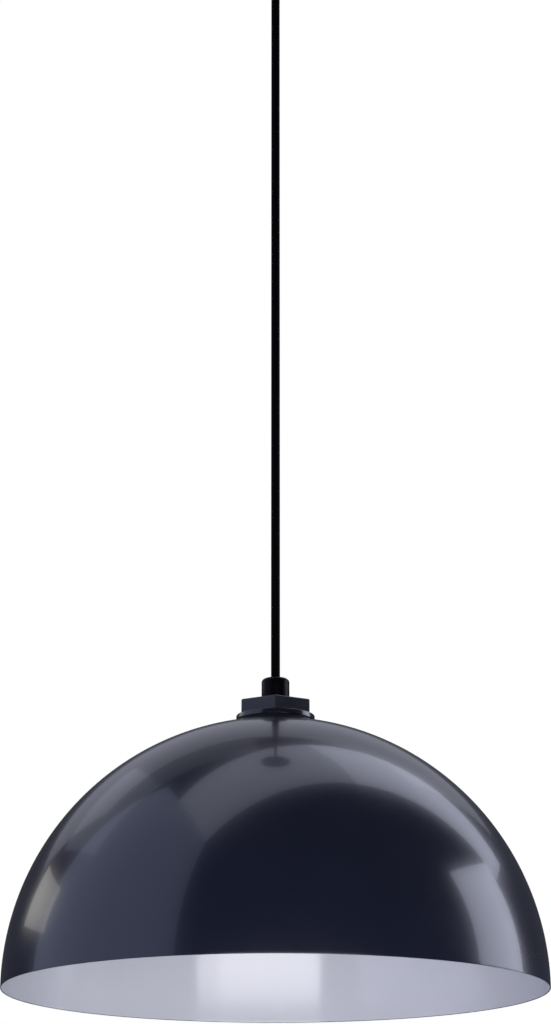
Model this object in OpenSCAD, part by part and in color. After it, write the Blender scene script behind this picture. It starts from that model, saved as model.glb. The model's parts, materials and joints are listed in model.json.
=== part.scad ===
// Pendant ceiling light: a spun metal dome on a cord, hung from a ceiling canopy.
// Millimetres, +Z up. The origin is the middle of the bracket's face that lies
// on the ceiling, and everything hangs below it.

/* [Shade] */
// Outside diameter of the hemispherical shade at its rim
shade_d = 400; // [320:1:480]
// Thickness of the shade's spun sheet
shade_wall = 0.8; // [0.6:0.1:1.6]

/* [Top fitting] */
// Thickness of the rubber ring at the crown of the shade
gasket_t = 1.3; // [1:0.1:3]
// Diameter of the flat top washer
washer_d = 59; // [56:0.5:70]
// Thickness of the flat top washer
washer_t = 4; // [2:0.5:6]
// Width across the flats of the hexagonal nut
nut_af = 51; // [46:0.5:54]
// Height of the hexagonal nut
nut_h = 10; // [8:0.5:14]
// Diameter of the gland cap above the nut
cap_d = 21; // [18:0.1:24]
// Height of the gland cap above the nut
cap_h = 18.6; // [16:0.1:24]
// Outside diameter of the threaded neck that passes through the shade
neck_d = 32; // [30:0.5:36]

/* [Cord] */
// Diameter of the cord's round jacket
cord_d = 6.8; // [5.6:0.1:7]
// Length of cord seen between the canopy's grip and the gland cap
cord_run = 585; // [300:5:900]
// Diameter of one insulated lead inside the cord
lead_d = 2.2; // [1.8:0.1:2.4]

/* [Canopy and bracket] */
// Outside diameter of the ceiling canopy
canopy_d = 110; // [104:1:124]
// Height of the ceiling canopy
canopy_h = 39; // [36:0.5:50]
// Thickness of the canopy's sheet
canopy_wall = 1.0; // [0.8:0.1:1.5]
// Gap between the canopy's rim and the ceiling
ceiling_gap = 1; // [0.5:0.5:3]
// Diameter of the cord grip's collar under the canopy
grip_d = 20; // [18:0.5:24]
// Length of the cord grip's collar under the canopy
grip_h = 20; // [18:0.5:30]
// Width of the ceiling bracket
bracket_w = 20; // [18:0.5:26]
// Thickness of the ceiling bracket
bracket_t = 1.5; // [1.2:0.1:2]
// Distance between the middles of the bracket's two screw slots
slot_spacing = 64; // [60:1:66]
// Width of each screw slot in the bracket
slot_w = 4.5; // [4:0.1:5.5]
// End-to-end length of each screw slot
slot_len = 12; // [8:0.5:14]

/* [Lampholder] */
// Diameter of the lampholder's cap
holder_d = 42; // [41:0.5:50]
// Height of the lampholder's cap
holder_cap_h = 26; // [24:0.5:32]
// Height of the lampholder's skirt
skirt_h = 38; // [34:0.5:44]
// Radius inside the brass screw shell
shell_r = 13.5; // [13.4:0.05:13.8]

/* [Bulb] */
// Diameter of the opal bulb
bulb_d = 60; // [52:1:68]
// Length of the bulb from its tip contact to the end of its globe
bulb_len = 108; // [100:1:114]

/* [Clearances] */
// Radial gap around pieces that are pushed through a plain hole
hole_gap = 0.3; // [0.2:0.05:0.5]
// Radial gap between the bulb's screw base and the screw shell
bulb_gap = 0.3; // [0.1:0.05:0.4]
// Gap between neighbouring pieces that move past each other
slide_gap = 0.3; // [0.2:0.05:0.5]

/* [Hidden] */

$fn = 96;
eps = 0.01;
hex = 6;
over = 1;

// Colours of the finishes
navy = [0.06, 0.07, 0.14];
white = [0.86, 0.86, 0.90];
zinc = [0.72, 0.73, 0.75];
brass = [0.80, 0.62, 0.28];
black = [0.04, 0.04, 0.05];
porcelain = [0.93, 0.92, 0.89];
brown = [0.33, 0.17, 0.08];
blue = [0.10, 0.25, 0.62];
earth_green = [0.30, 0.52, 0.12];

// Heights, counted down from the ceiling at 0
cord_r = cord_d / 2;
lead_r = lead_d / 2;
canopy_r = canopy_d / 2;
canopy_top = -ceiling_gap;
canopy_low = canopy_top - canopy_h;
canopy_floor = canopy_low + canopy_wall;
grip_low = canopy_low - grip_h;
cap_top = grip_low - cord_run;
nut_top = cap_top - cap_h;
nut_low = nut_top - nut_h;
washer_low = nut_low - washer_t;
crown = washer_low - gasket_t;
shade_r = shade_d / 2;
rim = crown - shade_r;
shade_in_r = shade_r - shade_wall;

// The bracket and what is screwed to it
tab_half_w = 7;
tab_x = sqrt(pow(canopy_r - canopy_wall - slide_gap, 2) - pow(tab_half_w, 2));
tab_low = -22;
tab_slot_top = -11;
tab_step = 6;
blind_floor = 0.4;
side_screw_r = 2;
side_screw_z = -13.5;
side_nut_af = 7;
side_nut_t = 3;
side_head_r = 3.8;
side_head_h = 2.3;
block_w = 30;
block_d = 15;
block_h = 14;
block_pitch = 10;
block_low = -bracket_t - block_h;
insert_r = 2.2;
insert_len = 13;
insert_z = block_low + 5;
insert_screw_r = 1.25;
insert_wall = 0.6;
insert_screw_y = 3.6;
insert_screw_sink = 0.8;
block_screw_r = 1.25;
block_head_r = 2.3;
block_head_h = 2;
block_sink_r = 2.6;
block_sink = 3;
earth_screw_x = 20;
earth_screw_y = 6;
earth_screw_r = 2;
earth_head_r = 3.4;
earth_head_h = 2;
earth_stand_off = 2;
slot_share = 0.25;

// The canopy and the cord grip, whose bell-mouth lets the cord swing
canopy_edge = 5;
grip_r = grip_d / 2;
grip_edge = 1.5;
grip_thread_r = 8;
grip_thread_top = canopy_floor + 9;
grip_locknut_af = 24;
grip_locknut_h = 5;
grip_insert_r = 6;
grip_insert_top = canopy_low + 2;
grip_insert_low = grip_low + 7;
grub_r = 2;
grub_z = (grip_insert_top + grip_insert_low) / 2 - 1;
grub_sink = 0.4;
grub_tip_gap = 1;
mouth_h = 6.5;
mouth_r = 6.2;
mouth_bore_r = cord_r + 0.9;
mouth_lip = 1;
pivot_z = grip_low + 3;
pivot_gap = 1.5;
core_r = 1.2;
bend_len = 3;
cord_top_end_z = canopy_floor + 14;
lead_side = 1.6;
lead_out = 15;
lead_bow = 26;
cord_high = pivot_z - pivot_gap - bend_len - slide_gap;

// The gland and the neck that clamp the shade
gland_r = 8;
gland_low = nut_top - 3.4;
gland_top = cap_top - 4.5;
seal_r = 5.4;
seal_low = gland_top - 8;
cap_round = 3;
cap_wall_gap = 0.05;
cap_roof = 3.5;
nut_cover = 3.4;
neck_r = neck_d / 2;
neck_top = nut_top - nut_cover - slide_gap;
neck_wall = 2.5;
neck_bore_r = neck_r - neck_wall;
flange_r = washer_d / 2 - 4;
flange_t = 4;
inner_gasket_edge = 1;
inner_gasket_low = rim + sqrt(pow(shade_in_r, 2) - pow(flange_r, 2)) - inner_gasket_edge;
washer_edge = 0.8;
neck_flange_low = inner_gasket_low - flange_t;
neck_floor_t = 4;
gasket_r = washer_d / 2 - 0.6;
gasket_depth = 6;
crown_cut = 8;
clamp_h = 8;
clamp_low = gland_low - 2 * slide_gap - clamp_h;
cord_tail = 0.5;
cord_low = clamp_low - cord_tail;
clamp_w = 19;
clamp_d = 9;
clamp_split = 0.8;
clamp_screw_x = 6.6;
clamp_screw_r = 1.25;
clamp_head_r = 2.2;
clamp_head_h = 1.4;
nipple_r = 5;
nipple_bore_r = 3.8;
neck_floor = neck_flange_low + neck_floor_t;
nipple_top = neck_floor + 3.6;
nipple_nut_af = 14;
nipple_nut_h = 3;
holder_drop = 6;
nipple_reach = 6;

// The lampholder and the bulb's screw thread
holder_r = holder_d / 2;
holder_wall = 2;
holder_top = neck_flange_low - holder_drop;
nipple_low = holder_top - nipple_reach;
holder_edge = 6;
holder_joint = holder_top - holder_cap_h;
skirt_low = holder_joint - skirt_h;
cap_thread_h = 7;
core_h = 9;
core_rise = 3;
core_top = holder_joint + core_rise;
core_pocket = 4.4;
core_low = core_top - core_h;
shell_wall = 0.4;
shell_step = 5;
shell_low = skirt_low + shell_step;
shell_top = core_low;
skirt_mouth_r = 15;
skirt_cavity_r = 16.2;
contact_drop = 5;
contact_strip = 0.5;
contact_w = 4;
contact_stem_r = 1.6;
contact_pad_r = 3;
tip_z = core_low - contact_drop;
tip_r = 4.6;
tip_h = 1.6;
tip_gap = 0.05;
base_r = shell_r - bulb_gap;
base_wall = 0.4;
base_in_r = base_r - base_wall;
base_top = tip_z - 3.4;
base_low = skirt_low + 1;
insulator_edge = 1;
insulator_top = tip_z - tip_h - 0.2;
collar_r = base_r + 0.9;
collar_low = skirt_low - 1.5;
housing_wall = 1.2;
housing_rim = 2;
bulb_low = tip_z - bulb_len;
bulb_r = bulb_d / 2;
bulb_mid = bulb_low + bulb_r;
globe_wall = 1;
seam_rise = 14;
seam_z = bulb_mid + seam_rise;
seam_r = sqrt(pow(bulb_r, 2) - pow(seam_rise, 2));
board_t = 1.6;
board_low = seam_z + 1.2;
board_edge = 4;
driver_w = 16;
driver_t = 1.6;
driver_low = board_low + board_t + 1.2;
driver_top = base_low + 16;
contact_screw_r = 1.5;
contact_screw_y = 12;
contact_head_r = 2.7;
contact_head_h = 2;
plate_w = 8;
plate_d = 6;
plate_t = 1.2;
screw_washer_gap = 1.4 - plate_t;
lead_gap = 0.2;
lead_end_y = contact_screw_y - contact_head_r - lead_r - lead_gap;
earth_lug_x = 9.5;
lug_w = 6;
lug_d = 5;
lug_t = 1;
lug_rivet_r = 2.2;
lug_rivet_h = 0.9;
lug_stem = 5;

// ---------- helpers ----------

// A ring with square edges between two heights
module ring(r_out, r_in, low, high) {
    translate([0, 0, low])
        difference() {
            cylinder(r = r_out, h = high - low);
            translate([0, 0, -over]) cylinder(r = r_in, h = high - low + 2 * over);
        }
}

// An upright rod between two heights
module rod(r, low, high) {
    translate([0, 0, low]) cylinder(r = r, h = high - low);
}

// A hexagonal block by its width across the flats, a corner towards -Y
module hex_block(af, low, high) {
    translate([0, 0, low]) rotate([0, 0, 30]) cylinder(r = af / sqrt(3), h = high - low, $fn = hex);
}

// A pan-head screw along +Z with its head's top at the origin
module pan_screw(r, length, head_r, head_h) {
    slot = 2 * slot_share * head_r;
    difference() {
        union() {
            translate([0, 0, -length]) cylinder(r = r, h = length);
            translate([0, 0, -head_h]) cylinder(r = head_r, h = head_h);
        }
        translate([-head_r - over, -slot / 2, -head_h / 2])
            cube([2 * (head_r + over), slot, head_h]);
    }
}

// A round tube swept along a route of points
function unit(v) = v / norm(v);
function heading(route, i) = unit(route[min(i + 1, len(route) - 1)] - route[max(i - 1, 0)]);
function side_of(d) = unit(cross(d, abs(d.x) < 0.8 ? [1, 0, 0] : [0, 1, 0]));
function ring_points(p, d, r, sides) = [
    for (k = [0:sides - 1])
        let (u = side_of(d), v = cross(d, u), a = 360 * k / sides)
        p + r * (cos(a) * u + sin(a) * v)
];

module tube(route, r, sides) {
    rings = len(route);
    skin = [
        for (j = [0:rings - 2], k = [0:sides - 1])
            let (n = (k + 1) % sides)
            [j * sides + k, j * sides + n, (j + 1) * sides + n, (j + 1) * sides + k]
    ];
    first_cap = [[for (k = [sides - 1:-1:0]) k]];
    last_cap = [[for (k = [0:sides - 1]) (rings - 1) * sides + k]];
    points = [
        for (j = [0:rings - 1])
            each ring_points(route[j], heading(route, j), r, sides)
    ];
    polyhedron(points = points, faces = concat(first_cap, skin, last_cap));
}

// A smooth route through a few chosen points
function between(a, b, c, d, t) = 0.5 * (
    2 * b + (c - a) * t + (2 * a - 5 * b + 4 * c - d) * t * t + (3 * b - a - 3 * c + d) * t * t * t
);
function smooth(p, steps) = concat(
    [
        for (i = [0:len(p) - 2], s = [0:steps - 1])
            between(p[max(i - 1, 0)], p[i], p[i + 1], p[min(i + 2, len(p) - 1)], s / steps)
    ],
    [p[len(p) - 1]]
);

// ---------- fixed to the ceiling ----------

module slot_hole(x) {
    straight = slot_len - slot_w;
    translate([x, 0, -bracket_t - over]) {
        for (side = [-1, 1])
            translate([side * straight / 2, 0, 0]) cylinder(r = slot_w / 2, h = bracket_t + 2 * over);
        translate([-straight / 2, -slot_w / 2, 0]) cube([straight, slot_w, bracket_t + 2 * over]);
    }
}

// A strip on the ceiling whose ends turn down as forked tabs
module ceiling_bracket() {
    color(zinc)
        difference() {
            union() {
                translate([-tab_x, -tab_half_w, -bracket_t]) cube([2 * tab_x, 2 * tab_half_w, bracket_t]);
                translate([-tab_x + tab_step, -bracket_w / 2, -bracket_t])
                    cube([2 * (tab_x - tab_step), bracket_w, bracket_t]);
                for (side = [0, 1])
                    mirror([side, 0, 0])
                        translate([tab_x - bracket_t, -tab_half_w, tab_low])
                            cube([bracket_t, 2 * tab_half_w, -tab_low]);
            }
            for (side = [-1, 1]) {
                slot_hole(side * slot_spacing / 2);
                // the fork that the side screws slide into
                translate([side * tab_x, 0, tab_slot_top])
                    rotate([0, 90, 0])
                        cylinder(r = side_screw_r + slide_gap, h = 4 * bracket_t, center = true);
                translate([side * tab_x - 2 * bracket_t, -side_screw_r - slide_gap, tab_low - over])
                    cube([4 * bracket_t, 2 * (side_screw_r + slide_gap), tab_slot_top - tab_low + over]);
                translate([side * block_pitch / 2, 0, -bracket_t - over])
                    cylinder(r = block_screw_r, h = bracket_t - blind_floor + over);
            }
            translate([earth_screw_x, -earth_screw_y, -bracket_t - over])
                cylinder(r = earth_screw_r, h = bracket_t - blind_floor + over);
        }
}

// A three-way block of moulded plastic under the strip
module terminal_block() {
    color(white)
        difference() {
            translate([-block_w / 2, -block_d / 2, block_low]) cube([block_w, block_d, block_h - eps]);
            for (i = [-1:1]) {
                translate([i * block_pitch, 0, insert_z])
                    rotate([90, 0, 0]) cylinder(r = insert_r, h = block_d + 2 * over, center = true);
                for (side = [-1, 1])
                    translate([i * block_pitch, side * insert_screw_y, block_low - over])
                        cylinder(r = insert_screw_r + hole_gap, h = insert_z - block_low + over);
            }
            for (side = [-1, 1])
                translate([side * block_pitch / 2, 0, block_low - over]) {
                    cylinder(r = block_screw_r + hole_gap, h = block_h + 2 * over);
                    cylinder(r = block_sink_r, h = block_sink + over);
                }
        }
}

// The brass tubes that the wires are screwed into
module terminal_inserts() {
    color(brass)
        for (i = [-1:1])
            difference() {
                translate([i * block_pitch, 0, insert_z]) rotate([90, 0, 0])
                    difference() {
                        cylinder(r = insert_r, h = insert_len, center = true);
                        cylinder(r = insert_r - insert_wall, h = insert_len + 2 * over, center = true);
                    }
                for (side = [-1, 1])
                    translate([i * block_pitch, side * insert_screw_y, insert_z - insert_r - over])
                        cylinder(r = insert_screw_r, h = insert_r + over);
            }
}

module terminal_screws() {
    length = insert_z - block_low - 2 * insert_screw_sink;
    color(zinc)
        for (i = [-1:1], side = [-1, 1])
            translate([i * block_pitch, side * insert_screw_y, block_low + insert_screw_sink])
                rotate([180, 0, 0]) pan_screw(insert_screw_r, length, insert_screw_r, insert_screw_r);
}

module block_screws() {
    color(zinc)
        for (side = [-1, 1])
            translate([side * block_pitch / 2, 0, block_low + block_sink - block_head_h])
                rotate([180, 0, 0]) pan_screw(block_screw_r, block_h, block_head_r, block_head_h);
}

module earth_screw() {
    reach = earth_stand_off + earth_head_h + bracket_t - blind_floor - 0.1;
    color(brass)
        translate([earth_screw_x, -earth_screw_y, -bracket_t - earth_stand_off - earth_head_h])
            rotate([180, 0, 0]) pan_screw(earth_screw_r, reach, earth_head_r, earth_head_h);
}

// ---------- the canopy and its cord grip ----------

// A deep round cup, open towards the ceiling, with rounded lower edge
module canopy() {
    edge = canopy_edge;
    inner = edge - canopy_wall;
    color(navy)
        difference() {
            rotate_extrude() {
                difference() {
                    union() {
                        translate([0, canopy_low]) square([canopy_r - edge, canopy_h]);
                        translate([0, canopy_low + edge]) square([canopy_r, canopy_h - edge]);
                        translate([canopy_r - edge, canopy_low + edge]) circle(r = edge);
                    }
                    translate([0, canopy_floor]) square([canopy_r - edge, canopy_h]);
                    translate([0, canopy_low + edge]) square([canopy_r - canopy_wall, canopy_h]);
                    translate([canopy_r - edge, canopy_low + edge]) circle(r = inner);
                    translate([-canopy_r, canopy_low - over]) square([canopy_r, canopy_h + 2 * over]);
                }
            }
            translate([0, 0, canopy_low - over])
                cylinder(r = grip_thread_r + hole_gap, h = canopy_wall + 2 * over);
            for (side = [-1, 1])
                translate([side * canopy_r, 0, side_screw_z])
                    rotate([0, 90, 0])
                        cylinder(r = side_screw_r + hole_gap, h = 2 * canopy_edge, center = true);
        }
}

side_nut_x = tab_x - bracket_t - slide_gap - side_nut_t;

module side_screws() {
    head_x = canopy_r + 0.1 + side_head_h;
    color(zinc)
        for (side = [0, 1])
            mirror([side, 0, 0])
                translate([head_x, 0, side_screw_z])
                    rotate([0, 90, 0])
                        pan_screw(side_screw_r, head_x - side_nut_x, side_head_r, side_head_h);
}

module side_nuts() {
    color(zinc)
        for (side = [0, 1])
            mirror([side, 0, 0])
                translate([side_nut_x, 0, side_screw_z])
                    rotate([0, 90, 0])
                        difference() {
                            cylinder(r = side_nut_af / sqrt(3), h = side_nut_t, $fn = hex);
                            translate([0, 0, -over]) cylinder(r = side_screw_r, h = side_nut_t + 2 * over);
                        }
}

// The collar under the canopy, with a bell-mouth for the cord
module grip_body() {
    color(navy)
        difference() {
            union() {
                rod(grip_thread_r, canopy_low - eps, grip_thread_top);
                translate([0, 0, grip_low])
                    rotate_extrude() {
                        square([grip_r - grip_edge, grip_h]);
                        translate([0, grip_edge]) square([grip_r, grip_h - grip_edge]);
                        translate([grip_r - grip_edge, grip_edge]) intersection() {
                            circle(r = grip_edge);
                            translate([0, -grip_edge]) square([grip_edge, 2 * grip_edge]);
                        }
                    }
            }
            rod(grip_insert_r, grip_insert_low, grip_thread_top + over);
            rod(mouth_bore_r, grip_low + mouth_h - eps, grip_insert_low + eps);
            translate([0, 0, grip_low])
                rotate_extrude() bell_mouth();
            translate([0, 0, grub_z]) rotate([0, 90, 0])
                cylinder(r = grub_r, h = grip_r + over);
        }
}

// Half of the mouth's section: a quarter-round that flares downwards
module bell_mouth() {
    flare = mouth_r - mouth_bore_r;
    difference() {
        translate([0, -over]) square([mouth_r, mouth_h + over]);
        translate([mouth_r, mouth_h]) scale([flare, mouth_h - mouth_lip]) circle(r = 1);
        translate([mouth_bore_r, mouth_h - eps / 10]) square([flare, mouth_lip]);
    }
}

module grip_locknut() {
    color(zinc)
        difference() {
            hex_block(grip_locknut_af, canopy_floor, canopy_floor + grip_locknut_h);
            rod(grip_thread_r, canopy_floor - over, canopy_floor + grip_locknut_h + over);
        }
}

// A soft sleeve that the grub screw presses on the cord
module grip_insert() {
    color(black)
        difference() {
            ring(grip_insert_r, cord_r, grip_insert_low, grip_insert_top);
            translate([0, 0, grub_z]) rotate([0, 90, 0])
                cylinder(r = grub_r, h = grip_r + over);
        }
}

module grip_grub_screw() {
    reach = grip_r - cord_r - grub_sink - grub_tip_gap;
    color(zinc)
        translate([grip_r - grub_sink, 0, grub_z])
            rotate([0, 90, 0]) pan_screw(grub_r, reach, grub_r, grub_r / 2);
}

// The end of the cord's jacket that stays with the canopy
module cord_top_end() {
    color(black) rod(cord_r, pivot_z + pivot_gap, cord_top_end_z);
}

// The leads run from the cord's end, in a slack bend, to the terminal block
function top_lead_route(x, side) =
    let (start = cord_top_end_z + lead_gap, y = side == 0 ? 1.7 : -0.9)
    [
        [side * lead_side, y, start],
        [side * lead_side, y, start + 1],
        [side * lead_side * 1.1, y + 0.5, start + 3],
        [0.7 * x + 2 * side, lead_out, start + 4],
        [0.9 * x + side, lead_bow - 2, start + 1],
        [x, lead_bow, insert_z - 2],
        [x, lead_out + 2, insert_z],
        [x, insert_len / 2, insert_z]
    ];

module top_lead(x, side) {
    tube(smooth(top_lead_route(x, side), 3), lead_r, 8);
}

module lead_live_top() { color(brown) top_lead(block_pitch, 1); }
module lead_neutral_top() { color(blue) top_lead(-block_pitch, -1); }
module lead_earth_top() { color(earth_green) top_lead(0, 0); }

// ---------- the cord's bend under the canopy ----------

module cord_core() {
    color(brass) translate([0, 0, pivot_z]) sphere(r = core_r);
}

module cord_bend() {
    color(black) rod(cord_r, pivot_z - pivot_gap - bend_len, pivot_z - pivot_gap);
}

// ---------- the hanging lamp ----------

// The cord's straight route, a ring every two and a half diameters
cord_rings = ceil((cord_high - cord_low) / (2.5 * cord_d));
cord_route = [
    for (i = [0:cord_rings]) [0, 0, cord_high + (cord_low - cord_high) * i / cord_rings]
];

module cord() {
    color(black) tube(cord_route, cord_r, 12);
}

// A cap with a round shoulder, open below
module gland_cap() {
    color(navy)
        difference() {
            translate([0, 0, nut_top])
                rotate_extrude() {
                    square([cap_d / 2, cap_h - cap_round]);
                    square([cap_d / 2 - cap_round, cap_h]);
                    translate([cap_d / 2 - cap_round, cap_h - cap_round]) intersection() {
                        circle(r = cap_round);
                        square(cap_round);
                    }
                }
            rod(cord_r + cap_wall_gap, cap_top - cap_roof - over, cap_top + over);
            rod(gland_r, nut_top - over, cap_top - cap_roof);
        }
}

// A rubber bush that the cap squeezes onto the cord
module gland_seal() {
    color(black) ring(seal_r, cord_r, seal_low, cap_top - cap_roof);
}

// The threaded stub on the nut that carries the cap
module gland_body() {
    color(zinc)
        difference() {
            rod(gland_r, gland_low, gland_top);
            rod(seal_r, seal_low, gland_top + over);
            rod(cord_r + hole_gap, gland_low - over, gland_top);
        }
}

// A cap nut: threaded onto the neck, closed above around the gland
module hex_nut() {
    color(navy)
        difference() {
            hex_block(nut_af, nut_low, nut_top);
            rod(neck_r, nut_low - over, nut_top - nut_cover);
            rod(gland_r, nut_low, nut_top + over);
        }
}

module top_washer() {
    soft = washer_edge;
    color(navy)
        difference() {
            translate([0, 0, washer_low])
                rotate_extrude() {
                    square([washer_d / 2, washer_t - soft]);
                    square([washer_d / 2 - soft, washer_t]);
                    translate([washer_d / 2 - soft, washer_t - soft]) circle(r = soft);
                }
            rod(neck_r + hole_gap, washer_low - over, nut_low + over);
        }
}

// A rubber ring, flat above, that follows the dome below
module top_gasket() {
    color(black)
        rotate_extrude($fn = 180)
            difference() {
                translate([neck_r + hole_gap, crown - gasket_depth])
                    square([gasket_r - neck_r - hole_gap, gasket_depth + gasket_t]);
                translate([0, rim]) circle(r = shade_r, $fn = 720);
            }
}

// One spun sheet: navy outside, white inside
module shade() {
    color(navy)
        difference() {
            rotate_extrude($fn = 180)
                intersection() {
                    difference() {
                        translate([0, rim]) circle(r = shade_r);
                        translate([0, rim]) circle(r = shade_in_r);
                    }
                    translate([0, rim]) square(shade_r + over);
                }
            rod(neck_r + hole_gap, crown - crown_cut, crown + over);
        }
}

// A rubber ring inside the shade, domed above and flat below
module inner_gasket() {
    color(black)
        rotate_extrude($fn = 180)
            intersection() {
                translate([0, rim]) circle(r = shade_in_r, $fn = 720);
                translate([neck_r + hole_gap, inner_gasket_low])
                    square([flange_r - neck_r - hole_gap, gasket_depth]);
            }
}

// The neck clamps the shade from inside and carries the lampholder
module threaded_neck() {
    color(white)
        difference() {
            union() {
                rod(neck_r, neck_flange_low, neck_top);
                rod(flange_r, neck_flange_low, inner_gasket_low);
            }
            rod(neck_bore_r, neck_floor, neck_top + over);
            rod(nipple_r, neck_flange_low - over, neck_floor + over);
        }
}

// A clamp across the neck that takes the weight off the leads
module cord_clamp() {
    color(white)
        difference() {
            translate([-clamp_w / 2, -clamp_d / 2, clamp_low]) cube([clamp_w, clamp_d, clamp_h]);
            rod(cord_r, clamp_low - over, clamp_low + clamp_h + over);
            translate([-clamp_w, -clamp_split / 2, clamp_low - over])
                cube([2 * clamp_w, clamp_split, clamp_h + 2 * over]);
            for (side = [-1, 1])
                translate([side * clamp_screw_x, 0, clamp_low + clamp_h / 2])
                    rotate([90, 0, 0]) cylinder(r = clamp_screw_r, h = 2 * clamp_d, center = true);
        }
}

module clamp_screws() {
    color(zinc)
        for (side = [-1, 1])
            translate([side * clamp_screw_x, -clamp_d / 2 - clamp_head_h, clamp_low + clamp_h / 2])
                rotate([90, 0, 0])
                    pan_screw(clamp_screw_r, clamp_d + clamp_head_h, clamp_head_r, clamp_head_h);
}

// A hollow threaded tube between the neck and the lampholder
module holder_nipple() {
    color(zinc) ring(nipple_r, nipple_bore_r, nipple_low, nipple_top);
}

module nipple_locknut() {
    color(zinc)
        difference() {
            hex_block(nipple_nut_af, neck_flange_low - nipple_nut_h, neck_flange_low);
            rod(nipple_r, neck_flange_low - nipple_nut_h - over, neck_flange_low + over);
        }
}

// The lampholder's cap, screwed to the nipple above and the skirt below
module holder_cap() {
    soft = holder_edge;
    inner = soft - holder_wall;
    color(white)
        difference() {
            rotate_extrude()
                difference() {
                    union() {
                        translate([0, holder_joint]) square([holder_r, holder_cap_h - soft]);
                        translate([0, holder_joint]) square([holder_r - soft, holder_cap_h]);
                        translate([holder_r - soft, holder_top - soft]) circle(r = soft);
                    }
                    translate([0, holder_joint - over])
                        square([holder_r - holder_wall, holder_cap_h - soft + over]);
                    translate([0, holder_joint - over])
                        square([holder_r - soft, holder_cap_h - holder_wall + over]);
                    translate([holder_r - soft, holder_top - soft]) circle(r = inner);
                    translate([-holder_r, holder_joint - over]) square([holder_r, holder_cap_h + 2 * over]);
                }
            rod(nipple_r, holder_joint, holder_top + over);
        }
}

// The lampholder's skirt around the brass shell
module holder_skirt() {
    color(white)
        difference() {
            union() {
                rod(holder_r - 1, skirt_low, holder_joint);
                rod(holder_r - holder_wall, holder_joint - eps, holder_joint + cap_thread_h);
            }
            rod(skirt_cavity_r, shell_low, holder_joint + cap_thread_h + over);
            rod(skirt_mouth_r, skirt_low - over, shell_low + over);
            rod(holder_r - 2 * holder_wall, core_low - eps, holder_joint + cap_thread_h + over);
        }
}

// The insulating core that carries the contacts
module holder_core() {
    color(porcelain)
        difference() {
            rod(holder_r - 2 * holder_wall, core_low, core_top);
            for (side = [-1, 1])
                translate([0, side * contact_screw_y, core_low - over])
                    cylinder(r = contact_screw_r, h = core_h + 2 * over);
            translate([-core_pocket / 2, -core_pocket / 2, core_low - over])
                cube([core_pocket, core_pocket, core_h - core_rise + over]);
            translate([-earth_lug_x, 0, core_low - over])
                cylinder(r = contact_screw_r, h = core_h + 2 * over);
        }
}

module screw_shell() {
    color(brass)
        difference() {
            rod(shell_r + shell_wall, shell_low, shell_top);
            rod(shell_r, shell_low - over, shell_top - shell_wall);
            rod(shell_r - shell_step, shell_low, shell_top + over);
        }
}

// A bent strip that springs down onto the bulb's tip
module centre_contact() {
    color(brass) {
        translate([-contact_w / 2, -contact_w / 2, core_low]) cube([contact_w, contact_w, contact_w / 2]);
        rod(contact_stem_r, tip_z + contact_strip, core_low);
        rod(contact_pad_r, tip_z, tip_z + contact_strip);
    }
}

// Terminal plates on top of the core
module holder_contacts() {
    color(brass)
        for (side = [-1, 1])
            difference() {
                translate([-plate_w / 2, side * contact_screw_y - plate_d / 2, core_top])
                    cube([plate_w, plate_d, plate_t]);
                translate([0, side * contact_screw_y, core_top - over])
                    cylinder(r = contact_screw_r, h = plate_t + 2 * over);
            }
}

module holder_screws() {
    rise = plate_t + screw_washer_gap + contact_head_h;
    color(zinc)
        for (side = [-1, 1])
            translate([0, side * contact_screw_y, core_top + rise])
                pan_screw(contact_screw_r, core_h + rise - lead_gap, contact_head_r, contact_head_h);
}

// The leads drop from the cord's end through the nipple into the lampholder
lead_wrap_r = 1.7;
lead_bore_r = 2.2;
function low_lead_route(angle) = [
    for (p = [
            [lead_wrap_r, cord_low - lead_gap], [lead_wrap_r + lead_gap, nipple_top],
            [lead_bore_r, nipple_top - 2], [lead_bore_r, nipple_low],
            [lead_bore_r + lead_r, nipple_low - lead_d]
        ]) [p[0] * cos(angle), p[0] * sin(angle), p[1]]
];

module low_lead(angle, end) {
    tube(smooth(concat(low_lead_route(angle), [end]), 3), lead_r, 8);
}

lead_end_z = core_top + lead_r + 0.5;
module lead_live_low() { color(brown) low_lead(90, [0, lead_end_y, lead_end_z]); }
module lead_neutral_low() { color(blue) low_lead(-90, [0, -lead_end_y, lead_end_z]); }
module lead_earth_low() {
    color(earth_green) low_lead(180, [-earth_lug_x + lead_r, 0, core_top + lug_t + lug_rivet_h + lead_r]);
}

// The earth lead's screw lug on the core
module earth_lug() {
    color(zinc) {
        translate([-earth_lug_x - lug_w / 2, -lug_d / 2, core_top]) cube([lug_w, lug_d, lug_t]);
        translate([-earth_lug_x, 0, 0]) {
            rod(contact_screw_r, core_top - lug_stem, core_top + lug_t);
            rod(lug_rivet_r, core_top + lug_t, core_top + lug_t + lug_rivet_h);
        }
    }
}

// ---------- the bulb ----------

module bulb_tip_contact() {
    color(zinc) rod(tip_r, tip_z - tip_h, tip_z - tip_gap);
}

module bulb_insulator() {
    color(black)
        rotate_extrude()
            polygon([
                [0, base_top], [base_r - insulator_edge, base_top],
                [tip_r + insulator_edge, insulator_top], [0, insulator_top]
            ]);
}

module bulb_base() {
    color(zinc) ring(base_r, base_in_r, base_low, base_top);
}

// The white collar between the screw base and the globe
module bulb_housing() {
    spigot_top = base_low + housing_rim;
    inner_seam_r = seam_r - housing_wall - globe_wall;
    color(white)
        rotate_extrude()
            polygon([
                [base_in_r - eps, spigot_top], [base_in_r - housing_wall, spigot_top],
                [base_in_r - housing_wall, collar_low], [inner_seam_r, seam_z + housing_rim],
                [inner_seam_r, seam_z], [seam_r, seam_z], [seam_r, seam_z + housing_rim],
                [collar_r, collar_low], [collar_r, base_low], [base_in_r - eps, base_low]
            ]);
}

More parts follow.
